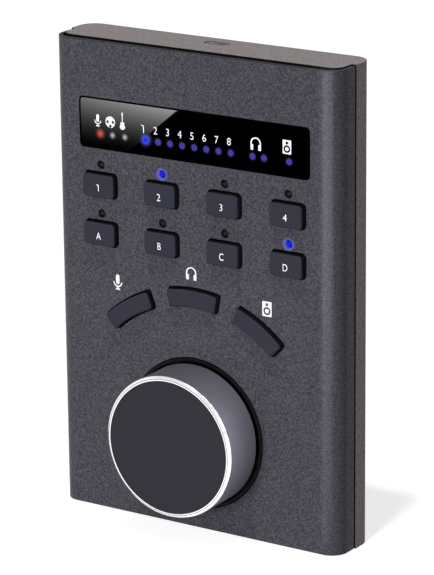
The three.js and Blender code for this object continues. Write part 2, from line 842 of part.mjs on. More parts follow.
function stationGroup(station) {
  const group = new THREE.Group();
  group.add(piece(`key_${station.mark}`, key(station), 'key'));
  group.add(piece(`switch_${station.mark}`, pushSwitch(), 'steel'));
  group.position.set(station.x, 0, station.z);
  group.rotation.y = station.turn;
  return group;
}

function knobGroup() {
  const group = new THREE.Group();
  group.add(piece('knob_shell', knobShell(), 'knob'));
  group.add(piece('knob_insert', knobInsert(), 'black'));
  group.add(piece('knob_well', knobWell(), 'black'));
  group.add(piece('encoder_shaft', encoderShaft(), 'steel'));
  group.add(piece('encoder_push_plate', encoderPushPlate(), 'black'));
  group.add(piece('encoder_nut', encoderNut(), 'brass'));
  group.add(piece('encoder_bushing', encoderBushing(), 'brass'));
  group.add(piece('encoder_housing', encoderHousing(), 'black'));
  group.position.z = knobAxisHeight;
  return group;
}

// The origin is the middle of the whole object's footprint, knob and feet included, at its base
const controller = new THREE.Group();
controller.add(caseGroup(), displayGroup(), boardGroup(), knobGroup());
stations.forEach((station) => controller.add(stationGroup(station)));
controller.position.y = (knobProtrusion - bodyDepth - footProtrusion) / 2;

export default controller;
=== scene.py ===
# The looks of a desktop controller for an audio interface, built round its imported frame.
# Metres. X runs to the right seen from the front, Y runs from front to rear, Z is up.
import math
from contextlib import contextmanager

import bmesh
import bpy
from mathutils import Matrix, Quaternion, Vector


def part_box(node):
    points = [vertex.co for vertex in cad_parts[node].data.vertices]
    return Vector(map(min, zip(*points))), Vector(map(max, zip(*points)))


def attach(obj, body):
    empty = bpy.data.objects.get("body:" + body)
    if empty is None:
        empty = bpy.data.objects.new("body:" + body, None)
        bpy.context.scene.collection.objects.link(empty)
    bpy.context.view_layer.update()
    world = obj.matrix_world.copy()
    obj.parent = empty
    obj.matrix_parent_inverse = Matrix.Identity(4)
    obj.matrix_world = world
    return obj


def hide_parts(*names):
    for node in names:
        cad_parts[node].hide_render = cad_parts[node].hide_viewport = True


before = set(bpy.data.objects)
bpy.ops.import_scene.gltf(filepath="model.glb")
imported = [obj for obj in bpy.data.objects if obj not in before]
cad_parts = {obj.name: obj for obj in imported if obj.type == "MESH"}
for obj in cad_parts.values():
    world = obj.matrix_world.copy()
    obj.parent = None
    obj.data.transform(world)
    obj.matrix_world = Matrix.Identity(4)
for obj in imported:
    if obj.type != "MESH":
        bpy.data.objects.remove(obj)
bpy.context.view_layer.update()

MM = 0.001
X, Y, Z = 0, 1, 2
SNAP = 0.02 * MM
HAIR = 0.01 * MM
MERGE = 0.001 * MM
OVERRUN = 1 * MM
GAP = 0.3 * MM
TO_FRONT = (math.pi / 2, 0, 0)

# Sides of rods, steps of rounded edges and arcs, and angles from which edges are soft or sharp
ROD_SIDES = 32
COARSE_SIDES = 24
FINE_SIDES = 48
CORNER_STEPS = 6
RIM_STEPS = 4
ARC_STEPS = 24
SOFTEN_STEPS = 2
SOFTEN_ANGLE = 35
SHARP_ANGLE = 38

# How much of a unit vector lies along an axis, from straight to a slight lean
STRAIGHT = 0.999
PANE_FLAT = 0.995
COVER_FLAT = 0.95
FACING = 0.9
SIDEWAYS = 0.5
LEANING = 0.35

# Case, from the frame and the sheet's own sizes
COVER_LOW, COVER_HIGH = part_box("front_cover")
FRONT = COVER_LOW.y
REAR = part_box("rear_chassis")[1].y
TOP = COVER_HIGH.z
HALF_WIDTH = COVER_HIGH.x
COVER_WALL = 1.2 * MM
COVER_SIDE = 9.1 * MM
COVER_DROP = 0.4 * MM
COVER_EDGE = 5.2 * MM
CHASSIS_EDGE = 5.4 * MM
CHASSIS_WALL = 2 * MM
SEAM = FRONT + 10.05 * MM
LIP_FRONT = FRONT + 2.7 * MM
LIP_HALF_WIDTH = HALF_WIDTH - COVER_WALL - GAP
LIP_EDGE = COVER_EDGE - COVER_WALL - GAP
LIP_WALL = 1.6 * MM
LIP_REACH = 4 * MM
LIP_END = FRONT + COVER_SIDE - LIP_REACH
SHEET_SOFTNESS = 0.18 * MM
CASE_EDGE_STEPS = 20

# Window
WINDOW_LOW, WINDOW_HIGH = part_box("display_window")
WINDOW_FLANGE = 1.5 * MM
PANE_CORNER = 1.2 * MM
PANE_CORNER_STEPS = 8
PANE_SOFTNESS = 0.3 * MM
PANE_GAP = 0.1 * MM
FLANGE_FRONT = FRONT + COVER_WALL + GAP
WINDOW_CENTRE = (WINDOW_LOW + WINDOW_HIGH) / 2
WINDOW_WIDTH = WINDOW_HIGH.x - WINDOW_LOW.x - 2 * WINDOW_FLANGE

# Keys
KEY_FLANGE = 0.9 * MM
KEY_CORNER = 1.1 * MM
KEY_PROTRUSION = 1.9 * MM
KEY_SOFTNESS = 0.6 * MM
KEY_GAP = 0.45 * MM
FLANGE_THICKNESS = 0.8 * MM
STEM_RADIUS = 2.2 * MM
PLUNGER_RADIUS = 1.5 * MM
PLUNGER_FRONT = FRONT + 6.4 * MM
FLANGE_REAR = FLANGE_FRONT + FLANGE_THICKNESS
ROW_MARKS = {"upper": "1234", "lower": "abcd"}
SQUARE_MARKS = ROW_MARKS["upper"] + ROW_MARKS["lower"]
CURVED_MARKS = ("microphone", "headphone", "speaker")
CURVED_PITCH = math.radians(32.2)
CURVED_SPAN = math.radians(22.9)
CURVED_WIDTH = 5.3 * MM
CURVED_CORNER = 0.9 * MM
CURVED_CORNER_STEPS = 5

# Knob and well
KNOB_LOW, KNOB_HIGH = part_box("knob_shell")
KNOB_AXIS = (KNOB_LOW.z + KNOB_HIGH.z) / 2
KNOB_REAR = FRONT - 0.9 * MM
KNOB_RADIUS = (KNOB_HIGH.x - KNOB_LOW.x) / 2
KNOB_WALL = 1.8 * MM
KNOB_FACE = 2.2 * MM
KNOB_SOFTNESS = 0.06 * MM
KNOB_SOFTEN_ANGLE = 25
RIM_CUT = 0.75 * MM
RIM_LINE = 0.17 * MM
RIM_LAND = 0.38 * MM
FACE_DROP = 0.22 * MM
FACE_SLOPE = 0.1 * MM
WELL_LOW, WELL_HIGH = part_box("knob_well")
WELL_WALL = 0.8 * MM
WELL_RADIUS = 23 * MM
WELL_FLANGE = 2.2 * MM
WELL_FLANGE_THICKNESS = 1 * MM
WELL_FLOOR = 1.2 * MM
WELL_SOFTNESS = 0.12 * MM
BUSHING_HOLE = 4.8 * MM
TURN_STEPS = 160

# Light pipes, and the light that the lit ones spill on the cover
PIPE_RADIUS = 1 * MM
PIPE_SIDES = 28
PIPE_SINK = 0.35 * MM
PIPE_END = 0.4 * MM
PIPE_RAIL = 1.2 * MM
PIPE_RAIL_FRONT = FRONT + 3.1 * MM
PIPE_DOME = 0.55 * MM
SPILL = 0.7
SPILL_REACH = 2.2 * MM
LIT_MARKS = ("2", "d")

# Lamps in the window, their places in shares of its width from its centre
INPUT_START, INPUT_PITCH = -0.4093, 0.0553
METER_START, METER_PITCH = -0.2037, 0.0529
OUTPUT_SHARES = (0.26, 0.3085, 0.415)
RED_RADIUS = 2.0 * MM
GREY_RADIUS = 1.45 * MM
BRIGHT_RADIUS = 2.4 * MM
BRIGHT_SHIFT = 0.15 * MM
DIM_RADIUS = 1.5 * MM

# Inlet, fasteners and feet
USB_LOW, USB_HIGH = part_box("usb_shell")
USB_CORNER = 0.8 * MM
USB_WALL = 0.35 * MM
USB_SOFTNESS = 0.05 * MM
SCREW_RECESS = 0.5 * MM
SCREW_SLOT = 0.55 * MM
SCREW_ARM = 0.62
SCREW_SOFTNESS = 0.3 * MM
SCREW_RIM_STEPS = 3
HEAD_THICKNESS = 0.8 * MM
SHANK_RADIUS = 1.2 * MM
FOOT_SEAT = 0.6 * MM
FOOT_SOFTNESS = 0.45 * MM
FOOT_RIM = 0.3
FOOT_DISH = 0.15 * MM
FOOT_SLOPE = 0.2 * MM
FOOT_SIDES = 64

# Ink
INK = 0.03 * MM
INK_CORNER_STEPS = 5
DIGIT_PITCH = 4.22 * MM
DIGIT_HEIGHT = 2.2 * MM
DIGIT_WIDTH = 0.92
DIGIT_LIFT = 0.25 * MM
LAST_DIGIT = 0.1666
LAST_DIGIT_SHIFT = 0.6 * MM
ONE_HEIGHT = 2.15 * MM
ONE_SHIFT = 0.05 * MM
ONE_LIFT = 0.15 * MM
ONE_STROKE = 1.3
ONE_FLAG = 3
FLAG_TURN = math.radians(-14)
KEY_MARK_HEIGHT = 2.1 * MM
KEY_MARK_DROP = 0.5 * MM
LETTER_WIDTH = 0.8


# Work on one piece at a time
def only(piece):
    bpy.ops.object.select_all(action="DESELECT")
    piece.select_set(True)
    bpy.context.view_layer.objects.active = piece


@contextmanager
def editing(piece, everything=False):
    only(piece)
    bpy.ops.object.mode_set(mode="EDIT")
    if everything:
        bpy.ops.mesh.select_all(action="SELECT")
    yield
    bpy.ops.object.mode_set(mode="OBJECT")


@contextmanager
def modifying(piece, kind):
    modifier = piece.modifiers.new("change", kind)
    yield modifier
    only(piece)
    bpy.ops.object.modifier_apply(modifier=modifier.name)


def choose(piece, kind, wanted):
    bpy.ops.mesh.select_mode(type=kind)
    bpy.ops.mesh.select_all(action="DESELECT")
    mesh = bmesh.from_edit_mesh(piece.data)
    mesh.normal_update()
    for part in mesh.edges if kind == "EDGE" else mesh.faces:
        part.select_set(wanted(part))
    bmesh.update_edit_mesh(piece.data)


def lies_at(part, axis, place):
    return all(abs(vertex.co[axis] - place) < SNAP for vertex in part.verts)


def is_rim(edge, place):
    """True for an edge where a face that points along Y, at this place, meets its side."""
    meets_side = any(abs(face.normal.y) < SIDEWAYS for face in edge.link_faces)
    return meets_side and lies_at(edge, Y, place)


def runs_along(edge, axis):
    run = edge.verts[1].co - edge.verts[0].co
    return abs(run[axis]) > STRAIGHT * run.length


def round_edges(piece, wanted, width, steps):
    choose(piece, "EDGE", wanted)
    bpy.ops.mesh.bevel(offset=width, segments=steps, profile=0.5, affect="EDGES")


def settle(piece, name):
    piece.name = name
    piece.data.name = name
    only(piece)
    bpy.ops.object.transform_apply(location=True, rotation=True, scale=True)
    return piece


def face_outwards(piece):
    with editing(piece, everything=True):
        bpy.ops.mesh.remove_doubles(threshold=MERGE)
        bpy.ops.mesh.normals_make_consistent(inside=False)


# Starting shapes, each put at its size and place
def block(name, low, high):
    centre = [(a + b) / 2 for a, b in zip(low, high)]
    size = [b - a for a, b in zip(low, high)]
    bpy.ops.mesh.primitive_cube_add(size=1, location=centre, scale=size)
    return settle(bpy.context.object, name)


def rounded_block(name, low, high, corner, axis, steps=CORNER_STEPS):
    piece = block(name, low, high)
    with editing(piece):
        round_edges(piece, lambda edge: runs_along(edge, axis), corner, steps)
    return piece


def rod(name, radius, near, far, x, z, sides=ROD_SIDES, fill="NGON"):
    bpy.ops.mesh.primitive_cylinder_add(
        vertices=sides, radius=radius, depth=far - near, end_fill_type=fill,
        location=(x, (near + far) / 2, z), rotation=TO_FRONT)
    return settle(bpy.context.object, name)


def plane(name, centre, rotation, width, height):
    bpy.ops.mesh.primitive_plane_add(size=1, location=centre, rotation=rotation)
    piece = bpy.context.object
    piece.scale = (width, height, 1)
    return settle(piece, name)


def arc_block(name, radius, width, near, far, start, span, centre):
    """A piece of a ring about an axis from front to rear. Angles run clockwise from straight up."""
    cx, cz = centre
    middle = (cx + radius * math.sin(start), (near + far) / 2, cz + radius * math.cos(start))
    piece = plane(name, middle, (0, math.pi / 2 + start, 0), width, far - near)
    with editing(piece, everything=True):
        bpy.ops.mesh.spin(
            steps=ARC_STEPS, angle=span, center=(cx, 0, cz), axis=(0, -1, 0),
            use_auto_merge=False)
    face_outwards(piece)
    return piece


# Turning, moving and copying
def reshaped(piece, turn=0.0, size=1.0, centre=(0, 0, 0)):
    """Turned clockwise seen from the front and resized in its own plane, about a centre."""
    with editing(piece, everything=True):
        if turn:
            bpy.ops.transform.rotate(value=turn, orient_axis="Y", center_override=centre)
        if size != 1.0:
            bpy.ops.transform.resize(value=(size, 1, size), center_override=centre)
    return piece


def moved(piece, shift):
    with editing(piece, everything=True):
        bpy.ops.transform.translate(value=shift)
    return piece


def copied(piece, name, shift=(0, 0, 0), turn=0.0, size=1.0, centre=(0, 0, 0)):
    only(piece)
    bpy.ops.object.duplicate()
    twin = reshaped(bpy.context.object, turn, size, centre)
    return settle(moved(twin, shift), name)


def extent(piece):
    points = [vertex.co for vertex in piece.data.vertices]
    low = Vector([min(point[axis] for point in points) for axis in (X, Y, Z)])
    high = Vector([max(point[axis] for point in points) for axis in (X, Y, Z)])
    return low, high


# Joining and cutting
def gather(pieces, name):
    only(pieces[0])
    for piece in pieces[1:]:
        piece.select_set(True)
    bpy.ops.object.join()
    return settle(pieces[0], name)


def carve(piece, tool, operation="DIFFERENCE"):
    with modifying(piece, "BOOLEAN") as cut:
        cut.operation = operation
        cut.object = tool
        cut.solver = "EXACT"
    bpy.data.objects.remove(tool, do_unlink=True)


def fuse(pieces, name):
    whole = pieces[0]
    for piece in pieces[1:]:
        carve(whole, piece, "UNION")
    with editing(whole, everything=True):
        bpy.ops.mesh.remove_doubles(threshold=MERGE)
        bpy.ops.mesh.dissolve_degenerate(threshold=MERGE)
    return settle(whole, name)


def hollow(piece, mouth, wall, floor):
    """Sinks the end face at a rod's mouth to a floor, within a wall, while the rod is edited."""
    choose(piece, "FACE", lambda face: lies_at(face, Y, mouth))
    bpy.ops.mesh.inset(thickness=wall, depth=0)
    bpy.ops.mesh.extrude_region_move(TRANSFORM_OT_translate={"value": (0, floor - mouth, 0)})


def smooth(piece):
    only(piece)
    bpy.ops.object.shade_smooth_by_angle(angle=math.radians(SHARP_ANGLE))
    with modifying(piece, "WEIGHTED_NORMAL") as even:
        even.keep_sharp = True
        even.weight = 100


def soften(piece, width, angle=SOFTEN_ANGLE):
    with modifying(piece, "BEVEL") as bevel:
        bevel.width = width
        bevel.segments = SOFTEN_STEPS
        bevel.limit_method = "ANGLE"
        bevel.angle_limit = math.radians(angle)
        bevel.harden_normals = True
        bevel.use_clamp_overlap = False
    smooth(piece)


def place(piece, body, slot, *nodes):
    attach(piece, body)
    if nodes:
        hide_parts(*nodes)


# Parts of finishes
BLACK = (0, 0, 0, 1)
WHITE = (1, 1, 1, 1)
NOISE_ROUGHNESS = 0.6


def new_finish(name):
    finish = bpy.data.materials.new(name)
    finish.use_nodes = True
    tree = finish.node_tree
    return finish, tree, tree.nodes["Principled BSDF"]


def give(node, values):
    for socket, value in values.items():
        node.inputs[socket].default_value = value


def noise_field(tree, scale, stretch=(1, 1, 1), detail=3):
    coords = tree.nodes.new("ShaderNodeTexCoord")
    mapping = tree.nodes.new("ShaderNodeMapping")
    noise = tree.nodes.new("ShaderNodeTexNoise")
    give(mapping, {"Scale": stretch})
    give(noise, {"Scale": scale, "Detail": detail, "Roughness": NOISE_ROUGHNESS})
    tree.links.new(coords.outputs["Object"], mapping.inputs["Vector"])
    tree.links.new(mapping.outputs["Vector"], noise.inputs["Vector"])
    return noise.outputs["Fac"]


def ranged(tree, field, low, high, field_low=0.3, field_high=0.7):
    spread = tree.nodes.new("ShaderNodeMapRange")
    give(spread, {"From Min": field_low, "From Max": field_high, "To Min": low, "To Max": high})
    tree.links.new(field, spread.inputs["Value"])
    return spread.outputs["Result"]


def combined(tree, operation, first, second):
    node = tree.nodes.new("ShaderNodeMath")
    node.operation = operation
    tree.links.new(first, node.inputs[0])
    tree.links.new(second, node.inputs[1])
    return node.outputs[0]


def object_place(tree):
    """The X, Y and Z of a place on the object, in its own coordinates."""
    coords = tree.nodes.new("ShaderNodeTexCoord")
    split = tree.nodes.new("ShaderNodeSeparateXYZ")
    tree.links.new(coords.outputs["Object"], split.inputs["Vector"])
    return split.outputs


def toned(tree, field, dark, light):
    mix = tree.nodes.new("ShaderNodeMix")
    mix.data_type = "RGBA"
    give(mix, {"A": (*dark, 1), "B": (*light, 1)})
    tree.links.new(field, mix.inputs["Factor"])
    return mix.outputs["Result"]


def srgb(code):
    """A colour written as six hex digits, in linear light."""
    channels = [int(code[start:start + 2], 16) / 255 for start in (0, 2, 4)]
    return [c / 12.92 if c <= 0.04045 else ((c + 0.055) / 1.055) ** 2.4 for c in channels]


# Finishes
PANE_SPECULAR = 0.2
PANE_GRAIN = 6 * MM
PANE_ROUGHNESS = (0.005, 0.02)
PIPE_GRAIN = 0.8 * MM
PIPE_GLOW = (0.75, 0.85)
ROUGHNESS_SPREAD = 0.05
BUMP_STRENGTH = 0.5
GLOW_BASE = (0.002, 0.002, 0.002, 1)
GLOW_ROUGHNESS = 0.08
GLOW_EDGE = (0.08, 0.9)
GLOW_CORE = (0.5, 0.8)


def grained(name, code, roughness, metallic=0.0, grain=0.5, contrast=0.12, relief=0.02,
            stretch=(1, 1, 1), specular=0.5, detail=3):
    """A solid finish whose tone, gloss and relief vary with a grain. Grain and relief in mm."""
    finish, tree, shader = new_finish(name)
    colour = srgb(code)
    field = noise_field(tree, 1 / (grain * MM), stretch, detail)
    even = ranged(tree, field, 0, 1)
    dark = [c * (1 - contrast) for c in colour]
    light = [min(c * (1 + contrast), 1) for c in colour]
    tree.links.new(toned(tree, even, dark, light), shader.inputs["Base Color"])
    rough = ranged(tree, field, roughness - ROUGHNESS_SPREAD, roughness + ROUGHNESS_SPREAD)
    tree.links.new(rough, shader.inputs["Roughness"])
    give(shader, {"Metallic": metallic, "Specular IOR Level": specular})
    bump = tree.nodes.new("ShaderNodeBump")
    give(bump, {"Strength": BUMP_STRENGTH, "Distance": relief * MM})
    tree.links.new(field, bump.inputs["Height"])
    tree.links.new(bump.outputs["Normal"], shader.inputs["Normal"])
    return finish


def glowing(name, core, rim, strength):
    """A light seen through glass: a core, a paler rim round it and a soft outer edge."""
    finish, tree, shader = new_finish(name)
    reach = tree.nodes.new("ShaderNodeAttribute")
    reach.attribute_name = "glow"
    fade = ranged(tree, reach.outputs["Fac"], 0.0, strength, *GLOW_EDGE)
    fade.node.interpolation_type = "SMOOTHERSTEP"
    tree.links.new(fade, shader.inputs["Emission Strength"])
    inner = ranged(tree, reach.outputs["Fac"], 0.0, 1.0, *GLOW_CORE)
    tree.links.new(toned(tree, inner, srgb(rim), srgb(core)), shader.inputs["Emission Color"])
    give(shader, {"Base Color": GLOW_BASE, "Roughness": GLOW_ROUGHNESS})
    give(shader, {"Specular IOR Level": PANE_SPECULAR})
    return finish


def pane_gloss():
    finish, tree, shader = new_finish("pane_gloss")
    field = noise_field(tree, 1 / PANE_GRAIN)
    tree.links.new(ranged(tree, field, *PANE_ROUGHNESS), shader.inputs["Roughness"])
    even = ranged(tree, field, 0, 1)
    tint = toned(tree, even, srgb("000001"), srgb("010102"))
    tree.links.new(tint, shader.inputs["Base Color"])
    give(shader, {"Specular IOR Level": PANE_SPECULAR})
    return finish


def lit_pipe():
    finish, tree, shader = new_finish("pipe_lit")
    field = noise_field(tree, 1 / PIPE_GRAIN)
    tree.links.new(ranged(tree, field, *PIPE_GLOW), shader.inputs["Emission Strength"])
    give(shader, {"Emission Color": (*srgb("1216dc"), 1), "Base Color": (*srgb("0a0a30"), 1)})
    give(shader, {"Roughness": 0.5, "Specular IOR Level": 0.1})
    return finish


COVER_PAINT = grained(
    "cover_paint", "45444a", 0.25, grain=0.42, contrast=0.5, specular=0.05, detail=1)
# Painted shade: the cover's top and bottom end faces are given a darker tone than its paint, as if
# they lay in shade.
EDGE_SHADE = grained("edge_shade", "232225", 0.6, grain=0.35, contrast=0.3, specular=0.1)
CHASSIS_PAINT = grained(
    "chassis_paint", "898282", 0.6, grain=0.34, contrast=0.36, specular=0.02,
    stretch=(1, 1, 0.3), detail=1)
KEY_FACE = grained("key_face", "30313a", 0.5, grain=0.3, contrast=0.06, relief=0.006, specular=0.03)
# Painted shade: the keys' sides are coloured near black, far darker than their faces, for the shade
# on the sides.
KEY_SIDE_SHADE = grained("key_side_shade", "070709", 0.7, grain=0.4, contrast=0.1, relief=0.01, specular=0.05)
KNOB_SIDE = grained(
    "knob_side", "5a5a61", 0.6, metallic=0.75, contrast=0.06, relief=0.002,
    stretch=(0.05, 4, 0.05))
KNOB_CUT = grained("knob_cut", "f4f3f6", 0.16, 1.0, grain=0.6, contrast=0.02, relief=0.001)
KNOB_TOP = grained("knob_top", "2a292f", 0.6, grain=0.25, contrast=0.03, relief=0.003, specular=0.1)
WELL_BLACK = grained("well_black", "0a0a0c", 0.5, contrast=0.1, relief=0.008, specular=0.1)
WINDOW_BLACK = grained("window_black", "030304", 0.8, contrast=0.1, relief=0.004, specular=0.0)
INNER_BLACK = grained("inner_black", "0c0c0e", 0.7, grain=0.8, relief=0.01, specular=0.1)
PIPE_CLEAR = grained("pipe_clear", "5c5d62", 0.25, grain=0.6, contrast=0.1, relief=0.004)
PIPE_LENS = grained(
    "pipe_lens", "141416", 0.35, grain=0.6, contrast=0.1, relief=0.004, specular=0.15)
BOARD_GREEN = grained("board_green", "14452c", 0.45, grain=1.4, contrast=0.2, relief=0.01)
STEEL = grained("steel", "b4b5b8", 0.32, 1.0, contrast=0.05, relief=0.004)
BRASS = grained("brass", "b49a5c", 0.34, 1.0, contrast=0.06, relief=0.004)
RUBBER = grained("rubber", "1b1b1c", 0.85)
INK_WHITE = grained("ink_white", "f2f2f4", 0.5, contrast=0.02, relief=0.002)
PANE_GLOSS = pane_gloss()
PIPE_LIT = lit_pipe()


def spill_light(finish, places):
    """Blue light that spreads over a finish round each of its two lit lamps."""
    tree = finish.node_tree
    coords = tree.nodes.new("ShaderNodeTexCoord")
    spread = []
    for x, z in places:
        away = tree.nodes.new("ShaderNodeVectorMath")
        away.operation = "DISTANCE"
        away.inputs[1].default_value = (x, FRONT, z)
        tree.links.new(coords.outputs["Object"], away.inputs[0])
        distance = away.outputs["Value"]
        spread.append(ranged(tree, distance, SPILL, 0, PIPE_RADIUS, SPILL_REACH))
    shader = tree.nodes["Principled BSDF"]
    tree.links.new(combined(tree, "MAXIMUM", *spread), shader.inputs["Emission Strength"])
    give(shader, {"Emission Color": (*srgb("6674f4"), 1)})


def coat(piece, finish):
    piece.data.materials.clear()
    piece.data.materials.append(finish)
    return piece


def coat_where(piece, finish, wanted):
    piece.data.materials.append(finish)
    index = len(piece.data.materials) - 1
    for face in piece.data.polygons:
        if wanted(face):
            face.material_index = index


# Places read from the frame
def centre_of(node):
    low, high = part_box(node)
    return (low + high) / 2


def round_place(node):
    """A round part's radius and the x and z of its axis, which runs from front to rear."""
    low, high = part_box(node)
    return (high.x - low.x) / 2, (low.x + high.x) / 2, (low.z + high.z) / 2


def key_place(mark):
    centre = centre_of(f"switch_{mark}")
    return centre.x, centre.z


def light_place(mark):
    row = "upper" if mark in ROW_MARKS["upper"] else "lower"
    low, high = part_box(f"{row}_key_lights")
    return key_place(mark)[X], (low.z + high.z) / 2


def along_window(share):
    return WINDOW_CENTRE.x + share * WINDOW_WIDTH


CURVED_RADIUS = key_place("headphone")[1] - KNOB_AXIS
KEY_LOW, KEY_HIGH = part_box("key_1")
KEY_HALF_WIDTH = (KEY_HIGH.x - KEY_LOW.x) / 2 - KEY_FLANGE
KEY_HALF_HEIGHT = (KEY_HIGH.z - KEY_LOW.z) / 2 - KEY_FLANGE
KEY_FRONT = FRONT - KEY_PROTRUSION


# Outlines that several pieces share
def key_corners(near, far, grow=0.0):
    """The corners of a block as wide and high as key 1, grown all round."""
    x, z = key_place("1")
    width, height = KEY_HALF_WIDTH + grow, KEY_HALF_HEIGHT + grow
    return (x - width, near, z - height), (x + width, far, z + height)


def spun(name, radius, near, far):
    """A fine rod about the knob's axis."""
    return rod(name, radius, near, far, 0, KNOB_AXIS, TURN_STEPS)


def curved_solid(name, near, far, grow=0.0):
    """The middle curved key's outline between two places from front to rear, grown all round."""
    reach = grow / (CURVED_RADIUS + CURVED_WIDTH / 2)
    start, end = -CURVED_SPAN / 2 - reach, CURVED_SPAN / 2 + reach
    width = CURVED_WIDTH + 2 * grow
    piece = arc_block(name, CURVED_RADIUS, width, near, far, start, end - start, (0, KNOB_AXIS))

    def at_corner(edge):
        x, z = edge.verts[0].co.x, edge.verts[0].co.z - KNOB_AXIS
        radius, angle = math.hypot(x, z), math.atan2(x, z)
        at_end = min(abs(angle - start), abs(angle - end)) < 0.001
        at_rim = abs(abs(radius - CURVED_RADIUS) - CURVED_WIDTH / 2 - grow) < SNAP
        return runs_along(edge, Y) and at_end and at_rim

    with editing(piece):
        round_edges(piece, at_corner, CURVED_CORNER + grow, CURVED_CORNER_STEPS)
    return piece


# Case
def cover_openings():
    near, through = FRONT - OVERRUN, FRONT + COVER_WALL + OVERRUN
    corners = key_corners(near, through, KEY_GAP)
    square = rounded_block("opening", *corners, KEY_CORNER + KEY_GAP, Y)
    x, z = key_place("1")
    curved = curved_solid("opening", near, through, KEY_GAP)
    lamp_x, lamp_z = light_place("1")
    lamp = rod("opening", PIPE_RADIUS + GAP, near, through, lamp_x, lamp_z, COARSE_SIDES)
    tools = [square, curved, lamp]
    for mark in SQUARE_MARKS[1:]:
        other_x, other_z = key_place(mark)
        tools.append(copied(square, "opening", (other_x - x, 0, other_z - z)))
        other_x, other_z = light_place(mark)
        tools.append(copied(lamp, "opening", (other_x - lamp_x, 0, other_z - lamp_z)))
    for turn in (-CURVED_PITCH, CURVED_PITCH):
        tools.append(copied(curved, "opening", turn=turn, centre=(0, 0, KNOB_AXIS)))
    inset = WINDOW_FLANGE - PANE_GAP
    pane_low = (WINDOW_LOW.x + inset, near, WINDOW_LOW.z + inset)
    pane_high = (WINDOW_HIGH.x - inset, through, WINDOW_HIGH.z - inset)
    tools.append(rounded_block("opening", pane_low, pane_high, PANE_CORNER + PANE_GAP, Y))
    tools.append(spun("opening", WELL_RADIUS + GAP, near, through))
    return gather(tools, "openings")


def round_uprights(piece, depth, width):
    """Rounds the upright edges that lie at this depth."""
    with editing(piece):
        round_edges(
            piece, lambda edge: runs_along(edge, Z) and lies_at(edge, Y, depth),
            width, CASE_EDGE_STEPS)


def make_cover():
    low = (-HALF_WIDTH, FRONT, COVER_DROP)
    high = (HALF_WIDTH, FRONT + COVER_SIDE, TOP - COVER_DROP)
    cover = block("cover_shell", low, high)
    round_uprights(cover, FRONT, COVER_EDGE)
    with editing(cover):
        choose(cover, "FACE", lambda face: max(face.normal.y, abs(face.normal.z)) > FACING)
        bpy.ops.mesh.delete(type="FACE")
    with modifying(cover, "SOLIDIFY") as sheet:
        sheet.thickness = COVER_WALL
        sheet.offset = -1
        sheet.use_even_offset = True
    carve(cover, cover_openings())
    soften(cover, SHEET_SOFTNESS)
    spill_light(COVER_PAINT, [light_place(mark) for mark in LIT_MARKS])
    coat(cover, COVER_PAINT)
    # Painted shade: the walls and rounded lip of the window's opening are coloured black, where the
    # gap round the pane lies in shade.
    coat_where(cover, WINDOW_BLACK, lambda face: abs(face.normal.y) < COVER_FLAT
               and WINDOW_LOW.x < face.center.x < WINDOW_HIGH.x
               and WINDOW_LOW.z < face.center.z < WINDOW_HIGH.z)
    # Painted shade: the cover's top and bottom end faces take the darker edge tone.
    coat_where(cover, EDGE_SHADE, lambda face: abs(face.normal.z) > LEANING
               and abs(face.center.z - TOP / 2) > TOP / 2 - COVER_DROP - SHEET_SOFTNESS)
    place(cover, "root", "cover", "front_cover")


def make_chassis():
    shell = block("shell", (-HALF_WIDTH, SEAM, 0), (HALF_WIDTH, REAR, TOP))
    round_uprights(shell, REAR, CHASSIS_EDGE)
    lip_high = (LIP_HALF_WIDTH, REAR - CHASSIS_EDGE, TOP)
    lip = block("tongue", (-LIP_HALF_WIDTH, LIP_FRONT, 0), lip_high)
    round_uprights(lip, LIP_FRONT, LIP_EDGE)
    chassis = fuse([shell, lip], "chassis_shell")
    inside = LIP_HALF_WIDTH - LIP_WALL
    outside = HALF_WIDTH + OVERRUN
    near, rear_wall = FRONT - OVERRUN, REAR - CHASSIS_WALL
    low, high = CHASSIS_WALL, TOP - CHASSIS_WALL
    carve(chassis, block("cavity", (-inside, near, low), (inside, rear_wall, high)))
    carve(chassis, block("mouth", (-outside, near, low), (outside, LIP_END, high)))
    slot_low = (USB_LOW.x - GAP, USB_LOW.y - GAP, high - OVERRUN)
    slot_high = (USB_HIGH.x + GAP, USB_HIGH.y + GAP, TOP + OVERRUN)
    seats = [rounded_block("slot", slot_low, slot_high, USB_CORNER + GAP, Z)]
    behind = REAR + OVERRUN
    for number in range(1, 5):
        head, x, z = round_place(f"case_screw_{number}")
        floor = REAR - HEAD_THICKNESS - GAP
        seats.append(rod("seat", head + GAP, floor, behind, x, z, FINE_SIDES))
        foot, x, z = round_place(f"rubber_foot_{number}")
        seats.append(rod("seat", foot + GAP, REAR - FOOT_SEAT, behind, x, z, FOOT_SIDES))
    carve(chassis, gather(seats, "seats"))
    soften(chassis, SHEET_SOFTNESS)
    coat(chassis, CHASSIS_PAINT)
    # Painted shade: the tongue inside the cover and the wall at the seam are coloured black, where
    # the gap between cover and chassis lies in shade.
    coat_where(chassis, INNER_BLACK, lambda face: face.center.y < SEAM + SNAP
               and abs(face.normal.z) < SIDEWAYS)
    place(chassis, "root", "chassis", "rear_chassis")


def make_pane():
    inset = WINDOW_FLANGE
    low = Vector((WINDOW_LOW.x + inset, FRONT, WINDOW_LOW.z + inset))
    high = Vector((WINDOW_HIGH.x - inset, FLANGE_REAR, WINDOW_HIGH.z - inset))
    pane = rounded_block("pane", low, high, PANE_CORNER, Y, PANE_CORNER_STEPS)
    with editing(pane):
        round_edges(pane, lambda edge: lies_at(edge, Y, FRONT), PANE_SOFTNESS, RIM_STEPS)
    flange_low = (WINDOW_LOW.x, FLANGE_FRONT, WINDOW_LOW.z)
    flange = rounded_block("flange", flange_low, WINDOW_HIGH, PANE_CORNER, Y)
    pane = fuse([pane, flange], "window_pane")
    smooth(pane)
    coat(pane, PANE_GLOSS)
    coat_where(pane, WINDOW_BLACK, lambda face: abs(face.normal.y) < PANE_FLAT)
    place(pane, "root", "lens", "display_window")


